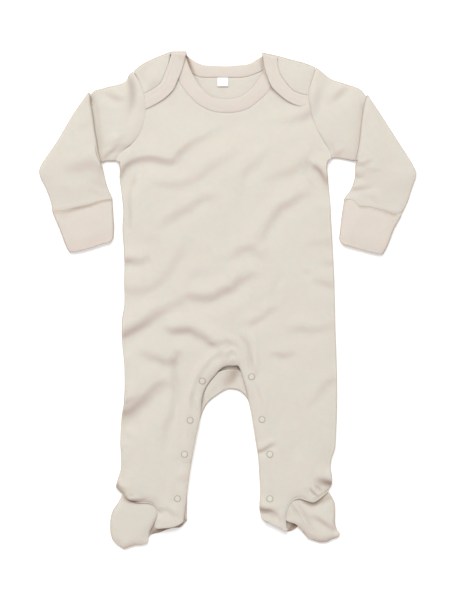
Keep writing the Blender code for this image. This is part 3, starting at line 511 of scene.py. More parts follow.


# Painted shade, darkening the colour in narrow gaps and creases that light hardly reaches: how high the cloth
# in them lies at most, how wide they are, and the places that they run through with their depth there.
paintedShadeLines = [
    ("underRightFlap", 5.0, 1.1, [(-56, 257, 0), (-57.5, 253.5, 0.55), (-61, 244, 0.15), (-69.5, 233, 0.15),
        (-78, 227, 0.15), (-93, 219.5, 0.1)]),
    ("besideRightShoulder", 12.0, 4.2, [(-116, 256, 0.15), (-112, 248, 0.32), (-110, 238, 0.34), (-110, 227, 0.22),
        (-112, 212, 0)]),
    ("rightKneeShade", 12.0, 8.5, [(-122, -131, 0.3), (-114, -128, 0.27), (-104, -119, 0.16), (-90, -105, 0)]),
    ("rightPlacketShade", 12.0, 5.0, [(-50, -54, 0), (-58, -64, 0.1), (-61, -80, 0.13), (-60, -97, 0.09),
        (-61, -116, 0.05), (-66, -138, 0.06), (-70, -155, 0.06), (-74, -175, 0)]),
    ("rightSideTuckShade", 12.0, 1.9, [(-112, 82, 0.14), (-112.5, 97, 0.14), (-113, 114, 0.12), (-112, 126, 0.13),
        (-108, 137, 0.12), (-104, 146, 0)]),
    ("underTheLeftArmShade", 12.0, 4.4, [(97, 156, 0), (101, 153, 0.2), (106, 147, 0.2), (111, 139, 0.24),
        (117, 130, 0.2)]),
    ("underTheRightArmShade", 12.0, 3.8, [(-124, 143, 0.32), (-120, 150, 0.28), (-113, 157, 0.18), (-103, 162, 0.1),
        (-90, 162, 0.08), (-75, 160, 0.06), (-66, 160, 0)]),
    ("rightCuffSeam", 12.0, 0.7, [(-202.5, 101.2, 0.5), (-195.5, 101.2, 0.3), (-187.5, 102.2, 0.4),
        (-176, 105.2, 0.6), (-158.5, 109.2, 0.6), (-144, 113.7, 0.5), (-133, 115.7, 0.5)]),
    ("leftCuffSeam", 12.0, 0.8, [(200.5, 98.5, 0.5), (194.5, 97.5, 0.45), (185, 100, 0.4), (175, 103, 0.3),
        (163.5, 106, 0.3), (150.5, 107.5, 0.4), (145, 112.5, 0.3), (133.5, 114.5, 0.3)]),
    ("leftHeelShade", 9.0, 4.2, [(36, -242, 0.38), (43, -243.5, 0.32), (50, -245.5, 0.2), (57, -251, 0)]),
    ("leftFootShort", 9.0, 1.8, [(73.6, -236, 0.06), (76.5, -243, 0.16), (79.4, -249, 0.08), (81, -253, 0)]),
    ("leftFootLong", 9.0, 1.6, [(77, -233, 0.04), (84, -241, 0.18), (90, -250, 0.22), (95, -259, 0.2),
        (101, -268, 0.05)]),
    ("leftFootOuter", 9.0, 2.4, [(97, -244, 0), (104, -251, 0.08), (113, -258, 0.12), (121, -264, 0.1)]),
    ("leftFootUnderSeam", 9.0, 3.2, [(99, -235, 0), (106, -232.5, 0.22), (113, -228.5, 0.34), (119, -227, 0.3),
        (123, -229, 0.1)]),
    ("underLeftHem", 4.0, 2.0, [(43, -255.5, 0.5), (51, -258.5, 0.7), (58.5, -262.5, 0.9), (65.5, -266, 0.9),
        (72.5, -266, 0.8)]),
    ("rightHeelShade", 9.0, 2.0, [(-78, -239, 0.2), (-73, -240.5, 0.12), (-68, -243, 0)]),
    ("besideLeftPlacket", 12.0, 2.0, [(14, -43, 0), (20, -51, 0.08), (23.5, -60, 0.12), (25, -72, 0.12),
        (25.5, -80, 0.1), (26, -86, 0)]),
    ("insideRightFlap", 2.4, 2.6, [(-49, 284, 0.8), (-45, 272, 0.85), (-40.5, 261.5, 0.5), (-35.5, 251, 0.15),
        (-30, 244, 0)]),
    ("besideLeftFlap", 5.4, 2.2, [(38, 282, 0.3), (39, 272, 0.35), (41.5, 262, 0.35), (45, 254.5, 0.15),
        (48, 247.5, 0.2)]),
    ("cornerLeftFlap", 6.0, 1.2, [(48.5, 245, 0.2), (50, 242.5, 0.7), (52, 240, 0.15)]),
    ("underLeftFlap", 5.6, 1.4, [(52, 240, 0.15), (59, 233, 0.15), (68, 227, 0.15), (80, 222.5, 0.12),
        (92, 221, 0.1)]),
    ("rightPleat", 7.0, 3.6, [(-155.5, 238, 0.08), (-153.5, 228.5, 0.14), (-151.2, 214.5, 0.15),
        (-149.2, 198.5, 0.15), (-147, 183.5, 0.12), (-145.5, 169.5, 0.04), (-144.7, 160, 0)]),
    ("leftPleat", 7.0, 1.8, [(156.6, 237.5, 0.35), (154.3, 229.5, 0.45), (152.2, 215.5, 0.4), (150.8, 199.5, 0.25),
        (149.4, 183.5, 0.1), (147.6, 171, 0), (145.6, 162, 0)]),
    ("crotchCorner", 4.0, 1.7, [(7, -76, 0.3), (12, -76.5, 1.0), (14, -80, 0.6), (15.5, -85, 0.1)]),
    ("underCrotch", 4.0, 1.0, [(-30, -118, 0.3), (-24, -98, 0.25), (-15.5, -87, 0.2), (-6, -78, 0.2), (2, -76, 0.25),
        (9, -76, 0.3)]),
    ("backPlacketShade", 5.4, 5.0, [(-4, -101, 0.1), (1, -95, 0.36), (6, -88, 0.5), (9, -82, 0.5)]),
    ("rightAnkleEdge", 7.0, 2.4, [(-129, -208, 0.2), (-127.5, -214, 0.5), (-123, -219.5, 0.55), (-120, -223, 0.5),
        (-118, -227, 0.5)]),
    ("rightAnkleGap", 7.0, 2.3, [(-118, -228.5, 0.45), (-113, -231, 0.75), (-106, -231.3, 0.9), (-101, -230.5, 0.6),
        (-94, -228.5, 0.15)]),
    ("rightPucker", 7.0, 1.2, [(-113, -226, 0), (-110.5, -223.5, 0.25), (-109, -221.5, 0)]),
    ("besideRightFoot", 8.0, 1.8, [(-80.5, -243, 0), (-82.5, -252, 0.12), (-85.5, -260, 0.3), (-88.5, -268, 0.7)]),
    ("underRightHem", 3.2, 3.2, [(-87, -268, 0.9), (-78, -265.5, 0.9), (-68, -263, 0.85), (-58, -260, 0.7),
        (-49, -254, 0.4)]),
    ("rightHemCorner", 6.0, 1.6, [(-52, -250, 0.2), (-50, -253, 0.7), (-48, -254, 0.7)]),
    ("underLeftCord", 5.0, 2.2, [(83, -229.5, 0.15), (89, -232.5, 0.55), (97, -235, 0.7), (105, -232, 0.65),
        (110, -227.5, 0.45), (115, -223.5, 0.2)]),
    ("leftPuckerInner", 9.0, 1.3, [(93, -216, 0), (97, -220.5, 0.5), (102, -225, 0.4), (104, -228, 0)]),
    ("leftPuckerOuter", 9.0, 1.2, [(99, -212, 0), (103, -215.5, 0.4), (108, -219.5, 0.3)]),
    ("leftAnkleEdge", 9.0, 4.6, [(102, -206.5, 0), (109, -208.5, 0.35), (115, -210.5, 0.6), (119, -212, 0.7)]),
    ("aboveLeftCord", 9.0, 1.2, [(98, -229, 0.2), (103, -226, 0.4), (109, -221.5, 0.4), (114, -218.5, 0.3)]),
    ("leftHeelHollow", 4.6, 3.6, [(74, -262, 0.9), (77, -259.5, 1.0), (80, -259, 0.8)]),
    ("underLeftFoot", 3.0, 2.0, [(83, -262, 0.6), (88, -268, 0.5), (92, -275, 0.3)]),
]
shadeLineStep, shadeLineReach = 2.0, 3  # from point to point along a painted shade line, and how many of its widths it is felt


def paintedShadeAt(places):
    # painted shade: how much darker each place is coloured, from the lines above
    depth = np.zeros(len(places))
    for _, most, width, line in paintedShadeLines:
        curve, near = beside(places, line, shadeLineStep, shadeLineReach * width)
        near &= places[:, 2] < most
        if near.any():
            away, strength = measured(places[near][:, :2], curve)
            depth[near] = np.maximum(depth[near], strength * np.exp(-((away / width) ** 2)))
    return depth


# A crease: its name, kind, half width, and the places that it runs through with its strength there. A step
# falls to the right of its run from a crest to a trough, a fall has a lower crest, a dip sinks and a ridge
# stands on its own line.
step, fall, dip, ridge = "step", "fall", "dip", "ridge"
creaseShape = {
    "slope": 0.45,
    "crest": 2.0, "trough": 1.7,  # how many half widths a step's two sides take
    "lowCrest": 0.5,  # what is left of a fall's crest
    "end": 4.4,  # half widths to where a step ends
    "line": 0.8,  # the depth of a dip and the height of a ridge, in half widths
    "reach": 4.5,
    "apart": 2.5,  # from point to point along it
}

frontCreases = [
    ("underTheRightArm", fall, 6.2, [(-124, 143, 1.9), (-121, 150, 1.9), (-114, 157, 1.6), (-96, 163, 1.3),
        (-84, 163, 1.3), (-72, 160, 1.3), (-64, 160, 1.2), (-58, 168, 1.0), (-45, 179, 0.8), (-26, 189, 0.55),
        (-9, 199, 0.3), (12, 207, 0)]),
    ("rightBreast", step, 5.1, [(-90, 135, 0), (-78, 134, 0.35), (-64, 133, 0.42), (-49, 134, 0.38),
        (-38, 137, 0.38), (-29, 144, 0.48), (-22, 151, 0.52), (-9, 159, 0.38), (5, 167, 0.27), (20, 180, 0.14),
        (31, 190, 0)]),
    ("breastbone", step, 4.8, [(5, 90, 0), (8, 103, 0.2), (12, 114, 0.24), (14, 128, 0.32), (16, 140, 0.42),
        (23, 149, 0.48), (31, 157, 0.42), (40, 166, 0.32), (51, 173, 0.18), (60, 178, 0)]),
    ("rightWaist", step, 5.1, [(-84, 81, 0), (-75, 86, 0.3), (-64, 95, 0.62), (-52, 101, 0.68), (-44, 105, 0.68),
        (-36, 112, 0.68), (-26, 117, 0.52), (-17, 117, 0.28), (-7, 117, 0)]),
    ("rightWaistBelow", step, 4.1, [(-101, 70, 0), (-92, 70, 0.3), (-84, 72, 0.22), (-78, 73, 0)]),
    ("leftWaist", step, 5.3, [(32, 59, 0), (39, 71, 0.6), (44, 81, 0.72), (51, 93, 0.85), (60, 105, 0.95),
        (71, 111, 0.9), (83, 119, 0.72), (92, 124, 0.42), (101, 131, 0.2), (103, 135, 0)]),
    ("navel", step, 5.1, [(1, 43, 0), (8, 51, 0.5), (15, 57, 0.62), (22, 59, 0.64), (28, 58, 0.62), (34, 53, 0.56),
        (39, 49, 0.3), (44, 47, 0)]),
    ("leftBreast", step, 4.8, [(39, 136, 0), (48, 139, 0.25), (60, 143, 0.36), (74, 148, 0.52), (83, 155, 0.58),
        (90, 164, 0.52), (97, 173, 0.42), (101, 179, 0.3), (103, 180, 0)]),
    ("underTheLeftArm", fall, 5.6, [(86, 161, 0), (92, 159.5, 0.4), (96, 157, 1.1), (101, 153, 2.1), (106, 148, 3.0),
        (111, 140, 3.2), (117, 131, 2.6)]),
    ("underTheLeftArmBelow", step, 3.4, [(106, 127, 0), (110, 125, 0.4), (115, 122, 0.5), (118, 121, 0.3)]),
    ("leftShoulderFront", step, 5.1, [(39, 206, 0), (54, 206, 0.25), (68, 205, 0.4), (79, 208, 0.56), (89, 211, 0.8),
        (95, 216, 0.9), (100, 220, 0.9)]),
    ("rightSideTuck", dip, 2.8, [(-114, 82, 0.9), (-113, 97, 1.8), (-114, 114, 1.6), (-113, 126, 1.5),
        (-109, 135, 1.3), (-105, 143, 0.7), (-103, 148, 0)]),
    ("rightSideHip", step, 4.6, [(-120, 44, 1.6), (-113, 45, 1.3), (-105, 44, 0.9), (-98, 45, 0.6), (-92, 49, 0.5),
        (-89, 50, 0)]),
    ("rightBelly", step, 5.8, [(-117, 11, 0.5), (-107, 10, 0.52), (-98, 11, 0.48), (-87, 14, 0.48), (-78, 21, 0.58),
        (-69, 30, 0.58), (-62, 40, 0.52), (-56, 51, 0.52), (-53, 59, 0.42), (-49, 68, 0.2), (-46, 74, 0)]),
    ("rightBellyFaint", step, 5.1, [(-90, 2, 0), (-76, 7, 0.2), (-61, 14, 0.25), (-44, 25, 0.25), (-32, 32, 0.15),
        (-23, 36, 0)]),
    ("acrossTheBelly", step, 5.8, [(-76, -7, 0), (-64, -4, 0.3), (-55, -2, 0.55), (-46, 4, 0.75), (-37, 3, 0.95),
        (-26, 2, 1.05), (-17, 3, 1.15), (-7, 9, 1.15), (5, 14, 1.05), (14, 22, 0.95), (23, 27, 0.65), (31, 29, 0.4),
        (39, 33, 0)]),
    ("rightHip", step, 6.4, [(-122, -43, 1.8), (-113, -37, 1.7), (-103, -31, 1.5), (-93, -25, 1.3), (-84, -18, 1.0),
        (-76, -13, 0.7), (-68, -9, 0.4), (-61, -6, 0.15), (-54, -4, 0)]),
    ("rightGroin", step, 5.5, [(-78, -26, 0), (-71, -32, 0.8), (-64, -35, 1.3), (-53, -35, 1.4), (-44, -35, 1.4),
        (-36, -39, 1.3), (-26, -44, 1.3), (-18, -51, 1.2), (-12, -57, 0.9), (-6, -60, 0.4), (-1, -62, 0)]),
    ("crotchTop", step, 3.7, [(-12, -49, 0.3), (-2, -48, 0.6), (5, -50, 0.8), (12, -53, 0.7), (16, -58, 0.4),
        (20, -63, 0)]),
    ("leftGroin", step, 3.9, [(20, -34, 0), (26, -27, 0.6), (32, -24, 0.8), (39, -20, 0.7), (46, -14, 0.7),
        (53, -10, 0.4), (59, -6, 0)]),
    ("leftHip", step, 4.8, [(66, -39, 0), (74, -36, 0.3), (83, -33, 0.6), (92, -35, 0.6), (103, -34, 0.4),
        (113, -32, 0.4), (120, -30, 0.2)]),
    ("leftThighFaint", step, 4.2, [(46, -60, 0), (54, -62, 0.5), (63, -64, 0.8), (72, -63, 0.5), (80, -60, 0)]),
    ("rightThigh", step, 5.1, [(-106, -53, 0), (-98, -60, 0.4), (-90, -65, 0.7), (-80, -68, 0.9), (-71, -71, 0.9),
        (-63, -70, 0.7), (-57, -67, 0)]),
    ("rightKnee", fall, 8.6, [(-123, -131, 1.5), (-113, -127, 1.5), (-104, -119, 1.4), (-94, -109, 1.2),
        (-84, -99, 1.0), (-75, -93, 0.6), (-68, -88, 0)]),
    ("rightKneeAbove", step, 4.2, [(-124, -117, 1.3), (-116, -117, 0.9), (-108, -112, 0.5), (-99, -105, 0)]),
    ("rightCalf", step, 3.2, [(-122, -149, 0.6), (-116, -155, 0.9), (-112, -158, 0.6), (-105, -165, 0)]),
    ("leftPlacketOuter", dip, 2.8, [(-2, -36, 0), (7, -39, 0.5), (14, -44, 1.1), (20, -51, 1.6), (23.5, -60, 1.9),
        (25, -70, 2.0), (25.5, -80, 1.4), (26, -86, 0)]),
    ("leftThighRidge", ridge, 3.4, [(12, -34, 0), (22, -40, 0.7), (28, -49, 1.2), (31, -60, 1.5), (32, -72, 1.5),
        (31, -81, 0.8), (30, -88, 0)]),
    ("leftPlacketRidge", ridge, 3.0, [(33, -90, 0), (37, -99, 0.9), (41, -110, 1.1), (43, -122, 0.9),
        (43, -136, 0.5), (46, -150, 0)]),
    ("leftPlacketLine", dip, 2.4, [(30, -94, 0), (33, -104, 0.8), (37, -118, 0.8), (38, -130, 0.4), (40, -140, 0)]),
    ("crotchLeftLine", dip, 1.6, [(2, -52, 0), (9, -56, 0.7), (14, -64, 1.2), (18, -74, 1.2), (21, -84, 0.7),
        (23, -92, 0)]),
    ("crotchTab", ridge, 2.0, [(-6, -68, 0.4), (-3, -62, 1.1), (1, -57.5, 1.5), (6, -56, 1.3), (10, -59, 1.3),
        (13, -65, 0.8), (14, -70, 0)]),
    ("crotchTabShade", dip, 2.0, [(0, -70, 0.3), (2, -66, 1.0), (6, -63, 1.2), (9, -67, 0.6), (10, -71, 0)]),
    ("rightPlacketRidge", ridge, 4.0, [(-47, -172, 0), (-46, -150, 0.5), (-46, -130, 0.9), (-44, -108, 1.2),
        (-38, -90, 1.3), (-28, -73, 1.2), (-17, -63, 1.1), (-8, -59, 0.5)]),
    ("rightPlacketInner", step, 2.4, [(-36, -105, 0), (-37, -114, 1.4), (-36, -122, 1.6), (-34, -128, 1.0),
        (-33, -134, 0)]),
    ("rightSnapBelow", step, 2.4, [(-56, -178, 0), (-53, -183, 0.7), (-47, -186, 0.6), (-42, -184, 0)]),
    ("leftKnee", step, 4.8, [(90, -129, 0), (95, -120, 0.4), (102, -111, 0.5), (108, -102, 0.5), (114, -95, 0.5),
        (121, -93, 0.4)]),
    ("leftCalfInside", step, 2.4, [(33, -174, 2.0), (40, -172, 1.9), (46, -168, 1.5), (52, -165, 1.0),
        (56, -163, 0)]),
    ("leftShin", dip, 8.0, [(71, -150, 0), (74, -167, 0.3), (75, -185, 0.3), (76, -205, 0)]),
    ("rightPlacketShade", dip, 5.4, [(-55, -58, 0), (-59, -68, 1.0), (-60.5, -83, 1.4), (-60, -98, 1.3),
        (-60, -116, 1.1), (-63, -133, 0.9), (-69, -150, 0.7), (-72, -167, 0.5), (-75, -185, 0)]),
    ("leftAnkle", fall, 4.8, [(98, -204, 0), (104, -205, 1.0), (111, -207.5, 1.9), (119, -210, 2.3)]),
    ("leftAnkleUnder", dip, 2.0, [(86, -216, 0), (90, -220.5, 0.7), (94, -225, 0.8), (97, -228.5, 0.4)]),
    ("leftAnkleMiddle", dip, 2.0, [(92, -215, 0), (95, -218.5, 1.8), (99, -222.5, 2.2), (103, -226, 1.2)]),
    ("leftAnkleOuter", dip, 2.0, [(98, -211, 0), (102, -215, 1.6), (106, -218.5, 1.8), (110, -221, 0.8)]),
    ("rightAnkleEdge", step, 2.8, [(-130, -208, 0.8), (-126, -213, 1.3), (-121, -218.5, 1.2), (-116, -223.5, 0.8),
        (-111, -227, 0.4), (-104, -228, 0)]),
    ("rightAnkleSmall", dip, 1.8, [(-114, -229, 0.3), (-111.5, -225, 1.1), (-109.5, -221.5, 0.8), (-107, -218, 0)]),
    ("rightAnkleSecond", dip, 1.8, [(-104, -220, 0), (-101.5, -224, 0.5), (-100, -228, 0.3)]),
    ("rightAnkleThird", dip, 3.0, [(-124, -193, 0), (-122, -201, 0.6), (-120, -209, 0.6), (-117, -216, 0)]),
    ("rightShinFaint", dip, 4.6, [(-113, -175, 0), (-116, -190, 0.4), (-118, -205, 0.3), (-118, -214, 0)]),
    ("rightHeel", step, 2.8, [(-72, -236, 0), (-67, -242, 0.5), (-61, -247, 0.5), (-57, -251, 0)]),
    ("rightHeelInner", step, 2.4, [(-81, -242, 0.6), (-77, -243, 1.0), (-72, -242, 0)]),
    ("rightHeelLine", step, 2.4, [(-71, -235, 0), (-68, -239, 0.6), (-63, -245, 0.6), (-60, -249, 0)]),
    ("rightHeelUpper", step, 3.4, [(-64, -205, 0), (-57, -205, 0.3), (-48, -205, 0.3)]),
    ("leftHeel", fall, 3.4, [(36, -238.5, 3.0), (43, -240, 3.2), (49, -240.5, 2.7), (55, -244.5, 1.6),
        (61, -251, 0.8), (64, -256, 0)]),
    ("leftHeelEnd", ridge, 2.6, [(56, -257, 0), (60, -250, 0.6), (62, -242, 0.8), (64, -234, 0.6), (68, -227, 0)]),
    ("leftHeelValley", dip, 2.2, [(59, -236, 0), (57, -244, 0.8), (57, -250, 0.5), (58, -255, 0)]),
    ("leftSideWaist", step, 3.9, [(85, 64, 0), (97, 65, 0.25), (112, 66, 0.35), (118, 65, 0.3)]),
    ("leftSideHip", step, 3.4, [(108, 45, 0), (114, 43, 0.4), (118, 42, 0.4)]),
    ("leftSideSeat", step, 4.6, [(94, 25, 0), (103, 22, 0.5), (112, 19, 0.7), (120, 17, 0.6)]),
    ("leftSideFaint", step, 3.4, [(83, 36, 0), (90, 32, 0.25), (97, 27, 0)]),
    ("bellyFaint", step, 3.9, [(-29, 65, 0), (-23, 57, 0.25), (-18, 49, 0.3), (-15, 42, 0)]),
    ("leftBellyFaint", dip, 5.8, [(60, 34, 0), (57, 20, 0.35), (54, 5, 0.35), (51, -6, 0)]),
]
shoulderCreases = [
    ("nearTheArmhole", dip, 3.9, [(-94, 273, 0), (-95, 264, 0.6), (-97, 252, 0.7), (-97, 243, 0.6), (-94, 235, 0)]),
    ("middleRidge", ridge, 5.8, [(-83, 266, 0), (-85, 255, 0.6), (-90, 241, 0)]),
    ("streak", dip, 3.4, [(-76, 275, 0), (-78, 266, 0.3), (-82, 257, 0.3), (-85, 248, 0)]),
]
sleeveCreases = {
    "right": {
        "upper": [
            ("besideTheShoulder", dip, 4.1, [(-115, 256, 1.6), (-111, 247, 2.4), (-109, 238, 2.6), (-109, 227, 2.2),
                (-111, 214, 1.3), (-114, 203, 0.5), (-116, 195, 0)]),
            ("top", step, 3.6, [(-150, 241, 0), (-140, 239, 1.1), (-133, 235, 1.6), (-126, 231, 1.4),
                (-120, 226, 0)]),
            ("underarm", step, 2.4, [(-139, 167, 1.3), (-133, 172, 1.8), (-128, 177, 1.8), (-123, 180, 1.0),
                (-120, 182, 0)]),
            ("underarmInner", step, 2.2, [(-130, 168, 0), (-125, 173, 1.0), (-121, 177, 0.8), (-118, 179, 0)]),
            ("underarmAbove", step, 2.6, [(-143, 175, 0), (-133, 180, 1.0), (-124, 185, 1.0), (-118, 186, 0)]),
        ],
        "lower": [
            ("elbow", step, 6.4, [(-190, 155, 0), (-180, 152, 0.4), (-170, 152, 0.55), (-161, 155, 0.6),
                (-152, 156, 0.5), (-146, 153, 0.4)]),
            ("inner", step, 2.6, [(-156, 137, 0), (-151, 134, 0.25), (-144, 130, 0.2), (-140, 128, 0)]),
            ("innerBelow", step, 2.4, [(-161, 128, 0), (-153, 124, 0.25), (-145, 120, 0.1)]),
            ("upper", step, 4.1, [(-179, 198, 0), (-170, 198, 0.25), (-161, 200, 0.3), (-156, 193, 0.3),
                (-154, 185, 0)]),
        ],
        "cuff": [
            ("seamFaint", step, 3.4, [(-195, 97, 0), (-191, 96, 0.25), (-182, 98, 0.3), (-176, 102, 0)]),
        ],
    },
    "left": {
        "upper": [
            ("besideTheShoulder", step, 4.6, [(97, 210, 0.9), (100, 220, 1), (102, 229, 1), (104, 239, 1),
                (106, 248, 0.7), (106, 257, 0.4), (107, 264, 0)]),
            ("top", step, 3.7, [(114, 223, 0), (120, 229, 0.8), (126, 235, 1.5), (131, 240, 1.6), (137, 245, 1.2),
                (143, 249, 0.3)]),
            ("underarm", dip, 2.0, [(118, 181, 0), (120, 174, 1.6), (121.5, 166, 2.4)]),
            ("underarmOuter", step, 2.6, [(123, 165, 1.2), (129, 170, 1.2), (135, 173, 0)]),
        ],
        "lower": [
            ("pleatEnd", step, 2.6, [(147, 163, 0.6), (155, 164, 0.5), (162, 167, 0)]),
            ("pleatEndBelow", step, 2.4, [(147, 157, 0.9), (154, 156, 1.1), (160, 158, 1.0), (167, 162, 0)]),
            ("elbowFaint", step, 3.0, [(152, 152, 0), (163, 150, 0.35), (172, 149, 0.3), (178, 148, 0)]),
            ("elbowInner", step, 2.4, [(146, 143, 0.8), (152, 142, 0.5), (158, 143, 0)]),
            ("inner", step, 2.8, [(141, 127, 0.9), (150, 128, 0.8), (158, 129, 0.6), (168, 131, 0)]),
            ("aboveTheCuff", step, 2.8, [(147, 119, 0), (156, 119, 0.25), (166, 118, 0.3), (172, 112, 0.2),
                (176, 109, 0)]),
        ],
        "cuff": [
            ("inner", step, 3.7, [(143, 105, 0), (140, 94, 0.35), (138, 82, 0.4), (136, 71, 0.25)]),
        ],
    },
}
footCreases = {
    "right": [
        ("facet", step, 5.0, [(-110, -283, 0), (-105, -276, 0.25), (-98, -266, 0.25), (-92, -258, 0)]),
    ],
    "left": [
        ("nearHeel", dip, 2.2, [(73, -234, 0.6), (76, -240, 1.5), (80, -247, 1.2), (84, -254, 0)]),
        ("besideTheHeel", ridge, 2.4, [(74, -231, 0.6), (81, -240, 1.7), (87, -250, 1.7), (92, -259, 0.9),
            (96, -265, 0)]),
        ("longOne", dip, 2.0, [(78, -232, 0.8), (85, -241, 1.9), (92, -251, 1.9), (98, -261, 1.2), (103, -271, 0)]),
        ("outerOne", step, 3.0, [(94, -244, 0), (101, -250, 0.9), (111, -256, 1.2), (122, -263, 1.2)]),
        ("outerEdge", dip, 2.6, [(113, -228, 0), (118, -238, 0.6), (118, -250, 0.6), (120, -262, 0)]),
    ],
}


def creased(places, creases):
    height, shape = np.zeros(len(places)), creaseShape
    for _, kind, width, line in creases:
        curve, near = beside(places, line, shape["apart"], shape["reach"] * width)
        if not near.any():
            continue
        away, strength = measured(places[near], curve)
        if kind in (step, fall):
            spread = width * np.where(away > 0, shape["trough"], shape["crest"])
            ending = np.maximum(0, 1 - (away / (shape["end"] * width)) ** 2) ** 2
            form = -away / (1 + (away / spread) ** 2) * ending
            if kind == fall:
                form *= 1 - (1 - shape["lowCrest"]) * ease(-away / width)
        else:
            form = (-1 if kind == dip else 1) * shape["line"] * width * np.exp(-((away / width) ** 2))
        height[near] += shape["slope"] * strength * form
    return height


# Where an edge turns sharply, places that are moved in can land on its other side. An edge moved by more than the
# first loses the places that come closer to it than the second, a share of that move.
insetFolds = 1.5, 0.96


def inset(edge, hand, away):
    # an edge that runs down the outer side, moved in towards the garment's middle
    moved = shifted(edge, -hand * away)
    if abs(away) > insetFolds[0]:
        clear = distance(moved, edge) > abs(away) * insetFolds[1]
        clear[[0, -1]] = True
        moved = moved[clear]
    return moved


frontShape = {
    "full": 7.2,  # how high its middle stands
    "least": 2.5,
    "shoulder": 2.4,  # heights along its edges
    "armhole": [(0, 2.4), (0.25, 3.2), (0.45, 4.1), (0.7, 4.1), (0.88, 3.8), (1, 3.9)],
    "neck": 2.8,
    "innerLeg": [(0, 4.9), (0.12, 4.8), (0.25, 4.8), (0.92, 4.9), (1, 5.2)],
    "footSeam": {
        "right": [(0, 3.7), (0.12, 5.2), (0.25, 6.4), (0.38, 5.8), (0.5, 4.6), (1, 4.4)],
        "left": [(0, 3.9), (0.2, 5.8), (0.4, 6.2), (0.6, 5.8), (0.8, 6.1), (1, 6.6)],
    },
    "hem": {
        "right": [(0, 4.4), (0.3, 5.4), (0.55, 6.9), (0.85, 6.0), (1, 5.2)],
        "left": [(0, 6.6), (0.3, 7.0), (0.55, 6.9), (0.85, 6.0), (1, 5.2)],
    },
    "shoulderIn": 1.5,  # how far it stops short of the fold of the shoulder
    "sideSeam": 0.2,  # how far it sinks where the side begins to turn down
    "sideEase": 30.0, "armholeEase": 56.0, "armholeStart": 0.06, "neckEase": 60.0, "innerEase": 9.0,
    "footEase": 12.0, "shoulderFlat": 36.0, "shoulderEase": 44.0,  # it lies flat under the shoulder flaps
    "facing": 22.0,  # the width of the strips behind the press studs
    "facingShows": {"right": 0.2, "left": 0.3},
    "facingLines": [(0.55, -3, 4.5), (-0.5, 5, 4.0)],  # how high, how far past its edge and how wide
    "studDip": 0.55, "studDipSquare": 30,
    "uneven": [(30, 0.5, 2), (11, 0.12, 5)], "unevenEdge": 0.25,
}


def sideEdges(side):
    e, hand = edges[side], edges[side]["hand"]
    found = {name: sampled(points) for name, points in e.items() if name not in ("hand", "snaps")}
    drop = cloth["foldRadius"] + wallHalf
    found["shoulderBase"] = found["shoulder"] - np.array([0, drop])
    found["frontShoulder"] = found["shoulder"] - np.array([0, drop + frontShape["shoulderIn"]])
    found["bodyArmhole"] = inset(found["armhole"], hand, gapHalf + wallHalf)
    found["bodySide"] = inset(found["side"], hand, cloth["sideRadius"] + wallHalf)
    return {"hand": hand, **found}


# The lines that the body's heights are eased from, with fewer places.
easedFrom = ("side", "armhole", "shoulder", "frontInner", "backInner", "footSeam")
coarseStep = 6
seams = {side: sideEdges(side) for side in edges}
coarse = {side: {name: sampled(edges[side][name], coarseStep) for name in easedFrom} for side in edges}
coarse["neck"] = sampled(neckEdges["frontSeam"], coarseStep)
rightSide, leftShoulder, leftSide = 2, -2, -4  # places in the list of the body's edges


def bodyEdges(halves, neck):
    # the edges of both halves laid end to end, from the right shoulder round the legs to the neck
    return cornered(halves[0] + [part[::-1] for part in halves[1][::-1]] + [neck])


def frontBorder():
    s, halves = frontShape, []
    for side, e in seams.items():
        hand = e["hand"]
        halves.append([
            lifted(e["frontShoulder"][::-1], s["shoulder"]),
            lifted(e["bodyArmhole"], s["armhole"]),
            lifted(e["bodySide"], sideTop - s["sideSeam"]),
            lifted(inset(e["footSeam"], hand, wallHalf), s["footSeam"][side]),
            lifted(inset(e["hem"], hand, wallHalf), s["hem"][side]),
            lifted(shifted(e["frontInner"], hand * wallHalf), s["innerLeg"])[::-1],
        ])
    neck = shifted(sampled(neckEdges["frontSeam"]), -gapHalf - wallHalf)[::-1]
    return bodyEdges(halves, lifted(neck, s["neck"]))


frontSides = frontBorder()
frontLoop = looped(frontSides)


def frontAt(places):
    # how high the front lies
    s = frontShape
    base = blended(places, frontLoop[::2])
    rise = np.ones(len(places))
    inner = {side: distance(places, coarse[side]["frontInner"]) for side in edges}
    for side in edges:
        rise *= rounded(distance(places, coarse[side]["side"]) / s["sideEase"])
        rise *= ease(distance(places, coarse[side]["armhole"]) / s["armholeEase"] + s["armholeStart"])
        rise *= ease((distance(places, coarse[side]["shoulder"]) - s["shoulderFlat"]) / s["shoulderEase"])
        rise *= rounded(inner[side] / s["innerEase"])
        rise *= rounded(distance(places, coarse[side]["footSeam"]) / s["footEase"])
    rise *= ease(distance(places, coarse["neck"]) / s["neckEase"])
    height = base + (s["full"] - base) * rise
    for side, shows in s["facingShows"].items():
        for lift, past, width in s["facingLines"]:
            height += shows * lift * np.exp(-(((inner[side] - s["facing"] - past) / width) ** 2))
        for x, y in edges[side]["snaps"]:
            square = (places[:, 0] - x) ** 2 + (places[:, 1] - y) ** 2
            height -= s["studDip"] * np.exp(-square / s["studDipSquare"])
    height += creased(places, frontCreases)
    height += uneven(places, *s["uneven"]) * (s["unevenEdge"] + (1 - s["unevenEdge"]) * rise)
    return floored(height, s["least"])


backShape = {
    "creases": 0.32,  # how much of the front's creases it has
    "most": 1.3,
    "legFlat": 22, "legEase": 14,  # it lies flat beside the legs' inner edges
    "neckFrom": 225, "neckEase": 25,  # and at the neck
    "anklePlaces": 30,
}


def backAt(places):
    # the underside lies flat, but for a few shallow creases
    s = backShape
    lift = upwards(s["creases"] * creased(places * np.array([-1, 1]), frontCreases))
    for side in edges:
        lift = lift * ease((distance(places, coarse[side]["backInner"]) - s["legFlat"]) / s["legEase"])
    lift = lift * ease((s["neckFrom"] - places[:, 1]) / s["neckEase"])
    return cloth["backLevel"] + np.clip(lift, 0, s["most"])


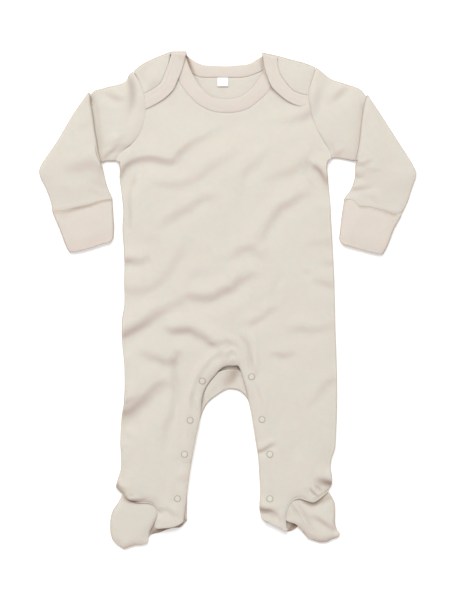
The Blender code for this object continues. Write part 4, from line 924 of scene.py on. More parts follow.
def turnedSide(base, hand, first, last):
    # cloth turned round the side, where the front and the back are sewn together halfway up
    rows, low, top = [], cloth["backLevel"], frontAt(base)
    for angle in np.linspace(first, last, cloth["sideSteps"]):
        row = shifted(base, hand * cloth["sideRadius"] * sin(angle))
        row[:, 2] = low + (top - low) * (1 - cos(angle)) / 2 + 2 * frontShape["sideSeam"] * sin(angle)
        rows.append(row)
    return gridPart(rows)


def frontBody():
    parts, turn = [panel(frontLoop, cloth["frontStep"], frontAt)], (pi, pi - cloth["sideTurn"])
    parts.append(turnedSide(frontSides[rightSide], -1, *turn))
    parts.append(turnedSide(frontSides[leftSide][::-1], 1, *turn))
    sheetOf("frontBody", parts, cloth["wall"], "cream_interlock", "front_body")


flapShape = {
    "fold": cloth["backLevel"] + 2 * cloth["foldRadius"],
    "armhole": 4.6,
    "seam": [(0, 4.9), (0.4, 5.2), (0.75, 5.3), (1, 4.2)],  # where its rib is sewn on, up to the shoulder
    "free": {  # and along the rib's free edge
        "right": [(0, 4.7), (0.2, 4.8), (0.45, 5.0), (0.62, 4.8), (0.76, 4.4), (0.9, 4.6), (1, 6.4)],
        "left": [(0, 4.8), (0.2, 5.0), (0.5, 5.6), (0.72, 6.0), (0.88, 6.0), (1, 6.4)],
    },
    "dome": 0.5, "domeEase": 12, "creaseEase": 5,
}


def flapPart(side, fold):
    # the back's part that laps over the front at the shoulder
    s, e, top = flapShape, seams[side], fold.copy()
    top[:, 2] = s["fold"]
    seam = lifted(shifted(e["flapSeam"], -e["hand"] * (gapHalf + ribHalf)), s["seam"])
    arm = e["bodyArmhole"]
    reach = np.abs(arm[:, :2] - e["flapSeam"][0]).sum(1).argmin()
    arm = lifted(arm[: reach + 1], [(0, s["fold"]), (0.2, s["armhole"]), (1, s["armhole"])])
    arm[0], seam[-1] = top[0], top[-1]
    seam[0] = arm[-1]
    loop = looped([top[::-1], arm, seam])

    def heightAt(places):
        away = np.min([distance(places, part) for part in (top, arm, seam)], axis=0)
        bump = creased(places, shoulderCreases) if side == "right" else 0
        return blended(places, loop) + ease(away / s["domeEase"]) * s["dome"] + bump * ease(away / s["creaseEase"])

    places, faces = panel(loop, cloth["frontStep"], heightAt)
    places[: len(loop), 2] = loop[:, 2]
    return places, faces


def backBody():
    halves, level = [], cloth["backLevel"]
    for e in seams.values():
        ankle = np.linspace(e["bodySide"][-1], e["backInner"][-1], backShape["anklePlaces"])
        ankle += np.array([0, gapHalf + wallHalf])
        inner = shifted(e["backInner"], e["hand"] * wallHalf)[::-1]
        lines = e["shoulderBase"][::-1], e["bodyArmhole"], e["bodySide"], ankle, inner
        halves.append([lifted(line, level) for line in lines])
    ends = [seams[side]["shoulderBase"][-1:] for side in edges]
    neck = sampled(np.vstack([ends[0], neckEdges["backSeam"], ends[1]]))
    sides = bodyEdges(halves, lifted(shifted(neck, -gapHalf - ribHalf)[::-1], level))
    loop = looped(sides)
    flat = panel(loop, cloth["backStep"], backAt)
    flat[0][: len(loop), 2] = level
    parts = [flat, turnedSide(sides[rightSide], -1, 0, cloth["sideTurn"])]
    parts.append(turnedSide(sides[leftSide][::-1], 1, 0, cloth["sideTurn"]))
    for side, row in (("right", sides[0][::-1]), ("left", sides[leftShoulder])):
        rows = []
        for angle in np.linspace(0, pi, cloth["foldSteps"]):
            turned = row.copy()
            turned[:, 1] += cloth["foldRadius"] * sin(angle)
            turned[:, 2] = level + (flapShape["fold"] - level) * (1 - cos(angle)) / 2
            rows.append(turned)
        parts += [gridPart(rows), flapPart(side, row)]
    sheetOf("backBody", parts, cloth["wall"], "cream_interlock", "back_body")


neckRibShape = {
    "width": 17.0,
    "crown": 0.35,
    "frontSeam": [(0, 2.4), (0.14, 2.4), (0.26, 2.8), (1, 2.8)],
    "frontFree": [(0, 2.4), (0.12, 2.5), (0.3, 3.4), (0.7, 3.5), (1, 3.0)],
    "frontSteps": 130, "frontColumns": 9,
    "looseRadius": 2.9,  # its free edge turns over the shoulder more loosely than the seam
    "freeIn": 0.2,
    "overBack": 0.15,
    "backSteps": 76, "foldSteps": 9, "flapSteps": 44, "backColumns": 17,
    "groove": 0.3, "grooveAt": 0.31, "grooveWidth": 0.055,  # where it is stitched down
    "grooveFrom": 4.2, "grooveEase": 0.8,  # at this height and up, which is on the shoulder flaps only
}


def ribBand(near, far, columns, groove=0.0):
    # a grid across the band, from its sewn edge to its free one; across the ribs is along the band
    s, rows = neckRibShape, []
    for share in np.linspace(0, 1, columns):
        row = (1 - share) * near + share * far
        row[:, 2] += s["crown"] * sin(pi * share)
        row[:, 2] -= groove * np.exp(-(((share - s["grooveAt"]) / s["grooveWidth"]) ** 2))
        rows.append(row)
    grid = np.array(rows)
    run = np.broadcast_to(runAlong(grid[columns // 2, :, :3]), grid.shape[:2])
    across = np.linspace(0, s["width"], columns)[:, None] * np.ones(grid.shape[1])
    return gridPart(np.concatenate([grid, np.stack([run, across], axis=-1)], axis=2))


def frontNeckRib():
    s = neckRibShape
    seam = shifted(sampled(neckEdges["frontSeam"], steps=s["frontSteps"]), gapHalf + ribHalf)
    free = shifted(sampled(neckEdges["frontFree"], steps=s["frontSteps"]), -ribHalf)
    band = ribBand(lifted(seam, s["frontSeam"]), lifted(free, s["frontFree"]), s["frontColumns"])
    sheetOf("frontNeckRib", [band], cloth["ribWall"], "cream_rib", "front_neck_rib")


def backNeckRib():
    # one long band: up one shoulder flap, over its fold, round the back neck, and down the other flap
    s, level = neckRibShape, cloth["backLevel"] + neckRibShape["overBack"]
    radii, bands = (cloth["foldRadius"], s["looseRadius"]), []
    for k, radius in enumerate(radii):  # its seam, then its free edge
        name, flap, end = (("backSeam", "flapSeam", 0), ("backFree", "flapFree", -1))[k]
        away = (gapHalf + ribHalf, -ribHalf)[k]
        levels = (flapShape["seam"], None)[k]
        starts = {}
        for side in edges:
            moved = -edges[side]["hand"] * (gapHalf + ribHalf, ribHalf * s["freeIn"])[k]
            starts[side] = np.array(edges[side]["ribFold"][end], float) + [moved, -radius - ribHalf]
        row = sampled(np.vstack([starts["right"], neckEdges[name], starts["left"]]), steps=s["backSteps"])
        row[1:-1] = shifted(row, away)[1:-1]
        band = [lifted(row, level)]
        for side in ("left", "right"):
            hand, start = edges[side]["hand"], starts[side]
            armhole = inset(seams[side]["armhole"], hand, gapHalf + ribHalf)
            turn = []
            for angle in np.linspace(0, pi, s["foldSteps"])[1:]:
                turn.append([*(start + [0, radius * sin(angle)]), level + radius * (1 - cos(angle))])
            down = sampled(np.vstack([edges[side][flap][:-1], start]), steps=s["flapSteps"])
            down[1:-1] = shifted(down, hand * away)[1:-1]
            down[0] = armhole[np.abs(armhole - down[0]).sum(1).argmin()]
            heights = (levels or flapShape["free"][side])[:-1] + [(1, level + 2 * radius)]
            whole = np.vstack([turn, lifted(down, heights)[::-1][1:]])
            band = band + [whole] if side == "left" else [whole[::-1]] + band
        bands.append(np.vstack(band))
    groove = s["groove"] * ease((bands[0][:, 2] - s["grooveFrom"]) / s["grooveEase"])
    band = ribBand(*bands, s["backColumns"], groove)
    sheetOf("backNeckRib", [band], cloth["ribWall"], "cream_rib", "back_neck_rib")


facingShape = {
    "inside": 1.0,  # it is turned in from the edge by this much
    "columns": 16,
    "clear": 1.5,  # above the back, and below the front
    "middle": 6.0,
    "swell": 1.6,  # under the arch of the front it swells up against the front's edge
    "swellRise": 2.0, "swellStart": 0.25, "swellFall": 12.0, "swellEnd": -128, "swellEase": 25,
}
crotchCreases = [
    ("hollow", dip, 4.6, [(-4, -104, 0.5), (0, -95, 0.9), (4, -87, 1.0), (7, -80, 0.5)]),
    ("stitched", dip, 1.6, [(8, -79, 0.6), (12, -84, 1.0), (15, -92, 1.0), (18, -99, 0.7), (21, -105, 0)]),
    ("stitchedAcross", dip, 1.6, [(-24, -104, 0), (-17, -95, 0.7), (-9, -87, 0.7), (0, -83, 0.5), (5, -82, 0)]),
]


def backFacingAt(places):
    s = facingShape
    rightOf, leftOf = (measured(places, coarse[side]["frontInner"])[0] for side in edges)
    away = np.where(places[:, 0] < s["middle"], -rightOf, leftOf)
    swell = ease(away / s["swellRise"] + s["swellStart"]) * (1 - ease((away - s["swellRise"]) / s["swellFall"]))
    swell *= ease((places[:, 1] - s["swellEnd"]) / s["swellEase"])
    return backAt(places) + s["clear"] + s["swell"] * swell + creased(places, crotchCreases)


def frontFacingAt(places):
    return frontAt(places) - facingShape["clear"]


def facing(name, legs, heightAt, node):
    # the strip behind the press studs, from one ankle up round the crotch to the other
    first = facingShape["inside"] + cloth["facingWall"] / 2
    edge = np.vstack([sampled(edges["right"][legs])[::-1], sampled(edges["left"][legs])[1:]])
    rows = []
    for away in np.linspace(first, first + frontShape["facing"] - cloth["facingWall"], facingShape["columns"]):
        row = shifted(edge, away)
        rows.append(np.column_stack([row, heightAt(row)]))
    sheetOf(name, [gridPart(rows)], cloth["facingWall"], "cream_interlock", node)


tubeShape = {"square": 0.6, "sideSteps": 6}  # how square a flattened tube's crown is, below 1


def hump(count, power, cut=0.0):
    # a bulge over a row of places, low at its ends
    return np.sin(np.linspace(cut, pi - cut, count)) ** power


def patch(near, far, start, end):
    # rows of places between two lines that are joined by two others
    start = np.vstack([near[:1], start[1:-1], far[:1]])
    end = np.vstack([near[-1:], end[1:-1], far[-1:]])
    across = np.linspace(0, 1, len(near))[None, :, None]
    along = np.linspace(0, 1, len(start))[:, None, None]
    ruled = (1 - along) * near[None] + along * far[None] + (1 - across) * start[:, None] + across * end[:, None]
    corners = (1 - along) * ((1 - across) * near[0] + across * near[-1])
    return ruled - corners - along * ((1 - across) * far[0] + across * far[-1])


def ring(row, level, half, crown=0.0, turn=0.0, outward=(0.0, 0.0), lift=None, under=None):
    # a flattened ring of cloth round a row of places; the turn tips its upper wall back over the sleeve
    lift = np.zeros(len(row)) if lift is None else lift
    under = np.zeros(len(row)) if under is None else under
    up = np.array([-outward[0] * sin(turn), -outward[1] * sin(turn), cos(turn)])
    middle = np.column_stack([row, np.broadcast_to(level, len(row))])
    bulge = crown * hump(len(row), tubeShape["square"])
    upper = middle + (half + bulge)[:, None] * up + lift[:, None] * np.array([0, 0, 1])
    lower = middle - half * up + under[:, None] * np.array([0, 0, 1])
    points = list(upper)
    for place, inner, sign in ((-1, -2, 1), (0, 1, -1)):
        side = middle[place] - middle[inner]
        side[2] = 0.0
        side /= np.linalg.norm(side)
        for angle in np.linspace(0, pi, tubeShape["sideSteps"])[1:-1]:
            share = (1 + sign * cos(angle)) / 2
            centre = middle[place] + np.array([0, 0, lift[place] * share])
            points.append(centre + half * (side * sin(angle) + sign * up * cos(angle)))
        if place == -1:
            points.extend(lower[::-1])
    return np.array(points)


def tubePart(rings):
    # rings joined into a tube, whose knit runs round it
    grid = np.array(rings)
    around = np.cumsum(np.linalg.norm(grid - np.roll(grid, 1, axis=1), axis=2), axis=1)
    along = np.broadcast_to(runAlong(grid[:, grid.shape[1] // 5])[:, None], around.shape)
    return gridPart(np.concatenate([grid, np.stack([around, along], axis=-1)], axis=2), True)


def narrowed(row, amount):
    # a row drawn in at both ends
    ends = row.copy()
    for place in (0, -1):
        run = row[place] - row[len(row) // 2]
        ends[place] = row[place] - amount * run / np.linalg.norm(run)
    share = np.linspace(0, 1, len(row))[:, None]
    return row + (1 - share) * (ends[0] - row[0]) + share * (ends[-1] - row[-1])


sleeveShape = {
    "half": 1.0,  # half the distance between the middles of its two walls
    "crown": 2.6,
    "across": 36, "upperSteps": 22, "lowerSteps": 60,
    "uneven": [(22, 0.45, 9), (10, 0.12, 4)],
    "underCreases": 0.3, "underMoved": (3, 4), "underMost": 1.2,  # the underside's share of the creases
    "shoulderRise": 1.6, "shoulderEase": 20,  # it is sewn to both layers of the shoulder
    "seamCrown": 0.6, "pleatCrown": 0.85,  # shares of the crown from the armhole to the pleat
    "outSquare": 0.7, "inSquare": 0.4,  # how steeply that one begins and ends
    "pleatEarly": 1.03,  # that one is flat a little before the pleat
    "creaseIn": 0.25, "creaseSquare": 0.4,  # creases fade at the sleeve's edges
    "creaseFrom": (6, 0.3), "underFrom": (4, 0),  # and at the armhole: how fast, and what is left there
    "lowerFrom": (10, 0), "lowerUnderFrom": (3, -1), "cuffFrom": (9, 0.25),  # at the pleat and at the cuff
    "sink": (0.7, 0.7), "lowerSink": (0.6, 0.5),  # how far creases go down, and with the crown
    "reach": 6.0, "endReach": 2.0,  # how far the pleat runs under itself, in its middle and at its ends
    "pleatIn": 1.5,  # its folds stay inside the sleeve's edges
    "turnSteps": (6, 7),
    "clearOfPleat": 0.6, "firstLower": 3, "pleatRows": 8,
    "late": 0.04,  # it falls from the pleat's height a little after the pleat
    "lowerCrown": (3, 0.1), "crownEnd": 0.8, "crownEndFrom": 0.75,
    "cuffGather": 0.15, "gatherFrom": 0.8,  # it opens a little wider at the cuff
}


def sleevePiece(side):
    s, e, hand = sleeveShape, edges[side], edges[side]["hand"]
    outward, half, folds = np.array([hand, 0.0]), s["half"], sleeveCreases[side]
    low = edge = half + wallHalf
    radius = low + cloth["layerGap"] / 2
    pleat = sampled(e["pleat"], steps=s["across"])
    armhole = shifted(sampled(e["armhole"], steps=s["across"]), hand * (gapHalf + wallHalf))
    flapReach = sampled(np.array(e["armhole"], float)[:4], 3)
    count = len(pleat)

    def fading(share, how):
        return ease(share * how[0] + how[1])

    def above(row, creases, fade):
        return fade * (creased(row, creases) + uneven(row, *s["uneven"]))

    def below(row, creases, fade):
        lift = upwards(fade * s["underCreases"] * creased(row + np.array(s["underMoved"]), creases))
        return np.clip(lift, 0, s["underMost"])

    steps = s["upperSteps"]
    upper = patch(armhole, pleat, sampled(e["overarm"], steps=steps), sampled(e["underarm"], steps=steps))
    rings = []
    for k in range(steps - 1):
        share = k / steps
        row = narrowed(upper[k], edge)
        toPleat = min(share * s["pleatEarly"], 1)
        square = s["outSquare"] if toPleat < 0.5 else s["inSquare"]
        crown = s["crown"] * (s["seamCrown"] * (1 - toPleat) + s["pleatCrown"] * sin(pi * toPleat) ** square)
        top = above(row, folds["upper"], fading(share, s["creaseFrom"]))
        top *= hump(count, s["creaseSquare"], s["creaseIn"])
        top += s["shoulderRise"] * (1 - ease(distance(row, flapReach) / s["shoulderEase"]))
        top = np.maximum(top, -s["sink"][0] - s["sink"][1] * crown * hump(count, tubeShape["square"]))
        under = below(row, folds["upper"], fading(share, s["underFrom"]))
        rings.append(ring(row, low, half, crown, lift=top, under=under))

    outer = sampled(e["sleeveOuter"], 0.5)
    reach = s["endReach"] + (s["reach"] - s["endReach"]) * hump(count, 1)
    lead = radius + edge

    def beyond(away, kept):
        # the pleat's line moved out along the sleeve, and cut off where it meets the sleeve's outer edge
        row = pleat + np.outer(away, outward)
        meets = outer[np.abs(outer[:, 0] - row[0, 0]).argmin()]
        share = np.linspace(0, 1, count)[:, None]
        return narrowed(row + (1 - share) * (meets - row[0]), kept)

    for angle in np.linspace(0, pi, s["turnSteps"][0]):
        row = beyond(reach + lead + radius * sin(angle), s["pleatIn"] + edge)
        rings.append(ring(row, low + radius * (1 - cos(angle)), half, turn=angle, outward=outward))
    for angle in np.linspace(0, pi, s["turnSteps"][1]):
        row = beyond(np.full(count, lead - radius * sin(angle)), edge + s["pleatIn"] * (angle == 0.0))
        rings.append(ring(row, low + radius * (3 - cos(angle)), half, turn=pi - angle, outward=outward))

    cuffSeam, steps = sampled(e["cuffSeam"], steps=s["across"]), s["lowerSteps"]
    lower = patch(pleat, cuffSeam, sampled(e["sleeveOuter"], steps=steps), sampled(e["sleeveInner"], steps=steps))
    lower[-1, :, 1] += gapHalf + wallHalf
    for k in [*range(s["firstLower"], steps - 1), steps]:
        share, row = k / steps, narrowed(lower[k], edge)
        away = distance(row, pleat)
        if away.min() < lead + s["clearOfPleat"] and k < s["pleatRows"]:
            continue
        fallen = (1 + s["late"]) * away / (away + distance(row, cuffSeam)) - s["late"]
        fallen = 1 - (1 - np.clip(fallen, 0, 1)) ** 2
        ending = ease((share - s["crownEndFrom"]) / (1 - s["crownEndFrom"]))
        crown = s["crown"] * min(1, ease(share * s["lowerCrown"][0]) + s["lowerCrown"][1])
        crown *= 1 - (1 - s["crownEnd"]) * ending
        fade = fading(1 - share, s["cuffFrom"]) * fading(share, s["lowerFrom"])
        top = np.maximum(above(row, folds["lower"], fade), -s["lowerSink"][0] - s["lowerSink"][1] * crown)
        under = below(row, folds["lower"], fade * fading(share, s["lowerUnderFrom"]))
        gather = half * (1 + s["cuffGather"] * ease((share - s["gatherFrom"]) / (1 - s["gatherFrom"])))
        rings.append(ring(row, low + 4 * radius * (1 - fallen), gather, crown, lift=top, under=under))
    sheetOf("sleeve", [tubePart(rings)], cloth["wall"], "cream_interlock", f"sleeve_{side}", side)


cuffShape = {
    "seamHalf": 1.25, "half": 1.5, "endHalf": 1.1,  # half its inner height, from its seam to its end
    "middleFrom": 0.25, "middleTo": 2 / 3,
    "crown": 1.5, "crownLost": 0.4,
    "across": 40, "along": 24,
    "top": (24, 0.35, 7), "under": (26, 0.9, 3), "underFrom": 0.15, "underMost": 0.6,
}


def cuffPiece(side):
    s, e = cuffShape, edges[side]
    seam = sampled(e["cuffSeam"], steps=s["across"]) - np.array([0, gapHalf + ribHalf])
    end = sampled(e["cuffEnd"], steps=s["across"]) + np.array([0, ribHalf])
    sides = [sampled(e[name], steps=s["along"]) for name in ("cuffOuter", "cuffInner")]
    rings = []
    for k, row in enumerate(patch(seam, end, *sides)):
        share = k / s["along"]
        half = s["seamHalf"] + (s["half"] - s["seamHalf"]) * ease(share / s["middleFrom"])
        half += (s["endHalf"] - s["half"]) * ease((share - s["middleTo"]) / (1 - s["middleTo"]))
        row = narrowed(row, half + ribHalf)
        crown = s["crown"] * (1 - s["crownLost"] * share ** 2)
        top = creased(row, sleeveCreases[side]["cuff"]) + uneven(row, s["top"])
        under = np.clip(uneven(row, s["under"]) - s["underFrom"], 0, s["underMost"])
        rings.append(ring(row, half + ribHalf, half, crown, lift=top, under=under))
    sheetOf("cuff", [tubePart(rings)], cloth["ribWall"], "cream_rib", f"cuff_{side}", side)


footShape = {
    "hidden": 6.0,  # how far it runs up under the leg's end
    "tuckFrom": 0.3, "tuckEase": 0.5,  # where along its inner edge it is tucked under less
    "creaseEase": 3,
    "rim": 2.35,
    "least": 1.95, "leastSoft": 0.15,
    "uneven": (20, 0.4, 6),
    "right": {  # heights along its top and inner edges, how far it bulges, and how far in from its edges
        "top": [(0, 2.9), (0.5, 3.2), (1, 3.0)],
        "inner": [(0, 3.0), (0.5, 3.0), (0.75, 2.6), (1, 2.35)],
        "tuck": 3.0, "full": 4.5, "rimEase": 7.0, "topEase": 18.0,
    },
    "left": {
        "top": [(0, 2.7), (0.4, 2.9), (0.65, 3.6), (0.85, 5.6), (1, 6.4)],
        "inner": [(0, 6.4), (0.35, 6.8), (0.6, 4.8), (0.8, 2.8), (1, 2.35)],
        "tuck": 4.0, "full": 5.6, "rimEase": 8.0, "topEase": 22.0,
    },
}


def footUpper(side, cord):
    s, e, hand = {**footShape, **footShape[side]}, seams[side], edges[side]["hand"]
    top = shifted(e["footSeam"], -hand * s["hidden"])
    tuck = s["tuck"] * (1 - ease((shares(e["footInner"]) - s["tuckFrom"]) / s["tuckEase"]))
    under = e["footInner"] + [-hand, 0.0] * tuck[:, None]
    sides = cornered([
        lifted(inset(e["footOuter"], hand, wallHalf), [(0, s["top"][0][1]), (0.2, s["rim"]), (1, s["rim"])]),
        lifted(inset(e["footToe"], hand, wallHalf), s["rim"]),
        lifted(shifted(under, hand * wallHalf), s["inner"])[::-1],
        lifted(top[2:-2], s["top"])[::-1],
    ])
    loop = looped(sides)

    def heightAt(places):
        base, rise = blended(places, loop), ease(distance(places, sides[3]) / s["topEase"])
        for edge in sides[:3]:
            rise = rise * rounded(distance(places, edge) / s["rimEase"])
        bumps = creased(places, footCreases[side]) + uneven(places, s["uneven"])
        height = base + (s["full"] - base) * rise + bumps * ease(rise * s["creaseEase"])
        return floored(height, s["least"], s["leastSoft"])

    part = panel(loop, cloth["frontStep"], heightAt)
    part[0][: len(loop), 2] = loop[:, 2]
    restsOn, node = [f"sole_{side}"], f"foot_upper_{side}"
    sheetOf("footUpper", [part], cloth["wall"], "cream_interlock", node, side)


soleShape = {"uneven": (24, 1.6, 8), "from": 0.25, "most": 0.8, "ease": 8, "anklePlaces": 30, "heelPlaces": 8}


def solePiece(side):
    s, e, hand, level = soleShape, seams[side], edges[side]["hand"], cloth["backLevel"]
    ankle = np.linspace(e["bodySide"][-1], edges[side]["backInner"][-1], s["anklePlaces"])
    ankle -= np.array([0, gapHalf + wallHalf])
    heel = np.linspace(ankle[-1], e["heel"][-1], s["heelPlaces"])
    lines = [inset(e[name], hand, wallHalf) for name in ("footOuter", "footToe", "heel")]
    lines += [shifted(heel, hand * wallHalf)[::-1], ankle[::-1]]
    loop = looped(cornered([lifted(line, level) for line in lines]))

    def heightAt(places):
        lift = np.clip(uneven(places, s["uneven"]) - s["from"], 0, s["most"])
        return level + lift * ease(distance(places, loop) / s["ease"])

    part = panel(loop, cloth["backStep"], heightAt)
    sheetOf("sole", [part], cloth["wall"], "cream_interlock", f"sole_{side}", side)


# The piping in the seams of the feet.
cords = {
    "right": {"radius": 0.9, "line": [(-108, -232.3, 4.7), (-103, -233, 4.6), (-95.5, -232.7, 4.6),
        (-88.6, -233.8, 4.5), (-84, -236.4, 4.5), (-81.2, -240.9, 4.5), (-80.6, -245.5, 4.5), (-81.2, -250, 4.6)]},
    "left": {"radius": 1.25, "line": [(114.5, -220.3, 4.0), (109.3, -224.2, 5.0), (103.5, -228.8, 5.4),
        (97.8, -231.6, 5.5), (89.7, -229.6, 5.6), (81.7, -227.3, 5.9), (74.8, -229.5, 6.1), (69.4, -235.6, 6.3),
        (66.5, -243.4, 6.4), (65.4, -251.3, 6.6), (66, -258.2, 6.6), (67, -262.5, 6.3)]},
}
cordShape = {"step": 1.3, "sides": 10, "narrow": (0.35, 0.85)}


def footCord(side):
    # rings round a line of places, narrowing to its ends
    s, line, radius = cordShape, sampled(cords[side]["line"], cordShape["step"]), cords[side]["radius"]
    run = np.gradient(line, axis=0)
    run /= np.linalg.norm(run, axis=1, keepdims=True)
    across = np.cross(run, [0, 0, 1])
    across /= np.linalg.norm(across, axis=1, keepdims=True)
    up = np.cross(across, run)
    thick = np.full(len(line), radius)
    thick[:2] *= s["narrow"]
    thick[-2:] *= s["narrow"][::-1]
    turns = np.linspace(0, tau, s["sides"], endpoint=False)
    rows = [[p + t * (cos(a) * x + sin(a) * z) for a in turns] for p, t, x, z in zip(line, thick, across, up)]
    places, faces = gridPart(rows, True)
    last = len(places) - s["sides"]
    faces += [tuple(range(s["sides"]))[::-1], tuple(last + k for k in range(s["sides"]))]
    return made(f"footCord{side.capitalize()}", places, turnedAlike(places, faces), "cream_interlock")


snapShape = {
    "middle": 0.42,  # height over its seat, then the outline of half the cap, from its middle down to its rim
    "profile": [
        (1.4, 0.44), (2.4, 0.42), (2.8, 0.34), (3.05, 0.3), (3.3, 0.42), (3.5, 0.5),
        (3.7, 0.46), (3.88, 0.28), (3.95, 0.02), (3.9, -0.3), (3.6, -0.5),
    ],
    "profileStep": 0.3, "sides": 36,
    "radius": 4.0, "seatPlaces": 12,  # where the cloth that it lies on is measured
    "proud": 0.7, "sunk": 0.05,
}


def snapPiece(side, number, spot):
    s, (x, y) = snapShape, spot
    turns = np.linspace(0, tau, s["seatPlaces"], endpoint=False)
    ways = np.column_stack([np.cos(turns), np.sin(turns)])
    around = frontAt(spot + s["radius"] * ways)
    lean = (around[:, None] * ways).mean(0) / 2  # it lies along the cloth
    proud = (around - around.mean() - s["radius"] * ways @ lean).max()
    height = around.mean() + s["proud"] * proud + wallHalf - s["sunk"]
    profile, turns = sampled(s["profile"], s["profileStep"]), np.linspace(0, tau, s["sides"], endpoint=False)
    rows = [[[x + r * cos(a), y + r * sin(a), height + z] for a in turns] for r, z in profile]
    places, faces = gridPart(rows, True)
    places[:, 3:5] -= spot
    middle, last = len(places), len(places) - s["sides"]
    faces += [(middle, (k + 1) % s["sides"], k) for k in range(s["sides"])]
    faces = [tuple(reversed(face)) for face in faces]
    faces.append(tuple(last + k for k in range(s["sides"])))
    places = np.vstack([places, [x, y, height + s["middle"], 0, 0]])
    places[:, 2] += (places[:, :2] - spot) @ lean
    name, node = f"snap{side.capitalize()}{number}", f"snap_{side}_{number}"
    made(name, places, turnedAlike(places, faces), "cream_press_stud", [node])


labelShape = {
    "middle": -6.0, "top": 256.0, "width": 12.0, "drop": 9.8, "level": 1.75,
    "layer": 0.5625, "pinch": 0.25,  # how far apart its two layers lie, and less at the seam
    "bow": 0.35, "seamDrop": 0.2,
    "fold": (0.35, 0.28),  # the turn at its lower end
    "along": 12, "across": 14,
}


def neckLabel():
    # a short tape folded in two and caught in the back neck seam
    s, rows = labelShape, []
    for layer, order in ((0, 1), (1, -1)):
        for share in np.linspace(0, 1, s["along"])[::order]:
            y, row = s["top"] - s["drop"] * share, []
            level = s["level"] + s["layer"] * layer * (1 - s["pinch"] * (1 - share) ** 2)
            level -= s["seamDrop"] * (1 - share)
            for u in np.linspace(0, 1, s["across"]):
                row.append([s["middle"] + s["width"] * (u - 0.5), y, level + s["bow"] * share * sin(pi * u)])
            rows.append(row)
    turn = [[x, y - s["fold"][0], z + s["fold"][1]] for x, y, z in rows[s["along"] - 1]]
    rows.insert(s["along"], turn)
    sheetOf("neckLabel", [gridPart(rows)], cloth["tapeWall"], "white_tape", "neck_label")


class Wire:
    # a shader socket that takes part in sums
    def __init__(self, finish, socket):
        self.finish, self.socket = finish, socket

    def maths(self, operation, *others):
        return self.finish.node("ShaderNodeMath", {"operation": operation}, dict(enumerate(others))).out()

    def __add__(self, other): return self.maths("ADD", self, other)
    def __radd__(self, other): return self.maths("ADD", other, self)
    def __sub__(self, other): return self.maths("SUBTRACT", self, other)
    def __rsub__(self, other): return self.maths("SUBTRACT", other, self)
    def __mul__(self, other): return self.maths("MULTIPLY", self, other)
    def __rmul__(self, other): return self.maths("MULTIPLY", other, self)

    def wave(self): return self.maths("SINE", self)
    def clipped(self): return self.maths("MINIMUM", self.maths("MAXIMUM", self, 0.0), 1.0)


class Node:
    def __init__(self, finish, node):
        self.finish, self.node = finish, node

    def out(self, name=0):
        return Wire(self.finish, self.node.outputs[name])


class Finish:
    def __init__(self, name, colour, roughness, **fixed):
        self.material = bpy.data.materials.new(name)
        self.material.use_nodes = True
        self.material.diffuse_color = (*colour, 1)
        self.nodes, self.links = self.material.node_tree.nodes, self.material.node_tree.links
        self.shader = self.nodes["Principled BSDF"]
        self.feed(Base_Color=(*colour, 1), Roughness=roughness, **fixed)

    def node(self, kind, settings=None, values=None):
        node = self.nodes.new(kind)
        for name, value in (settings or {}).items():
            if name == "stops":
                ramp = node.color_ramp
                while len(ramp.elements) < len(value):
                    ramp.elements.new(0.5)
                for stop, (at, grey) in zip(ramp.elements, value):
                    stop.position, stop.color = at, (grey, grey, grey, 1)
            else:
                setattr(node, name, value)
        for name, value in (values or {}).items():
            self.set(node.inputs[name], value)
        return Node(self, node)

    def set(self, socket, value):
        if isinstance(value, Wire):
            self.links.new(value.socket, socket)
        else:
            socket.default_value = value

    def feed(self, **values):
        for name, value in values.items():
            self.set(self.shader.inputs[name.replace("_", " ")], value)
        return self.material

    def attribute(self, name, output):
        return self.node("ShaderNodeAttribute", {"attribute_name": name, "attribute_type": "GEOMETRY"}).out(output)

    def where(self):
        return self.node("ShaderNodeTexCoord").out("Object")

    def part(self, vector, k):
        return self.node("ShaderNodeSeparateXYZ", {}, {"Vector": vector}).out(k)

    def mix(self, amount, first, second):
        node = self.node("ShaderNodeMix", {"data_type": "RGBA"}, {0: amount})
        for socket, value in ((6, first), (7, second)):
            self.set(node.node.inputs[socket], value if isinstance(value, Wire) else (*value, 1))
        return node.out(2)

    def noise(self, where, scale, detail, rough=0.5):
        values = {"Vector": where, "Scale": scale, "Detail": detail, "Roughness": rough}
        return self.node("ShaderNodeTexNoise", {}, values).out(0)

    def bump(self, height, strength, depth):
        values = {"Strength": strength, "Distance": depth * 0.001, "Height": height}
        return self.node("ShaderNodeBump", {}, values).out()
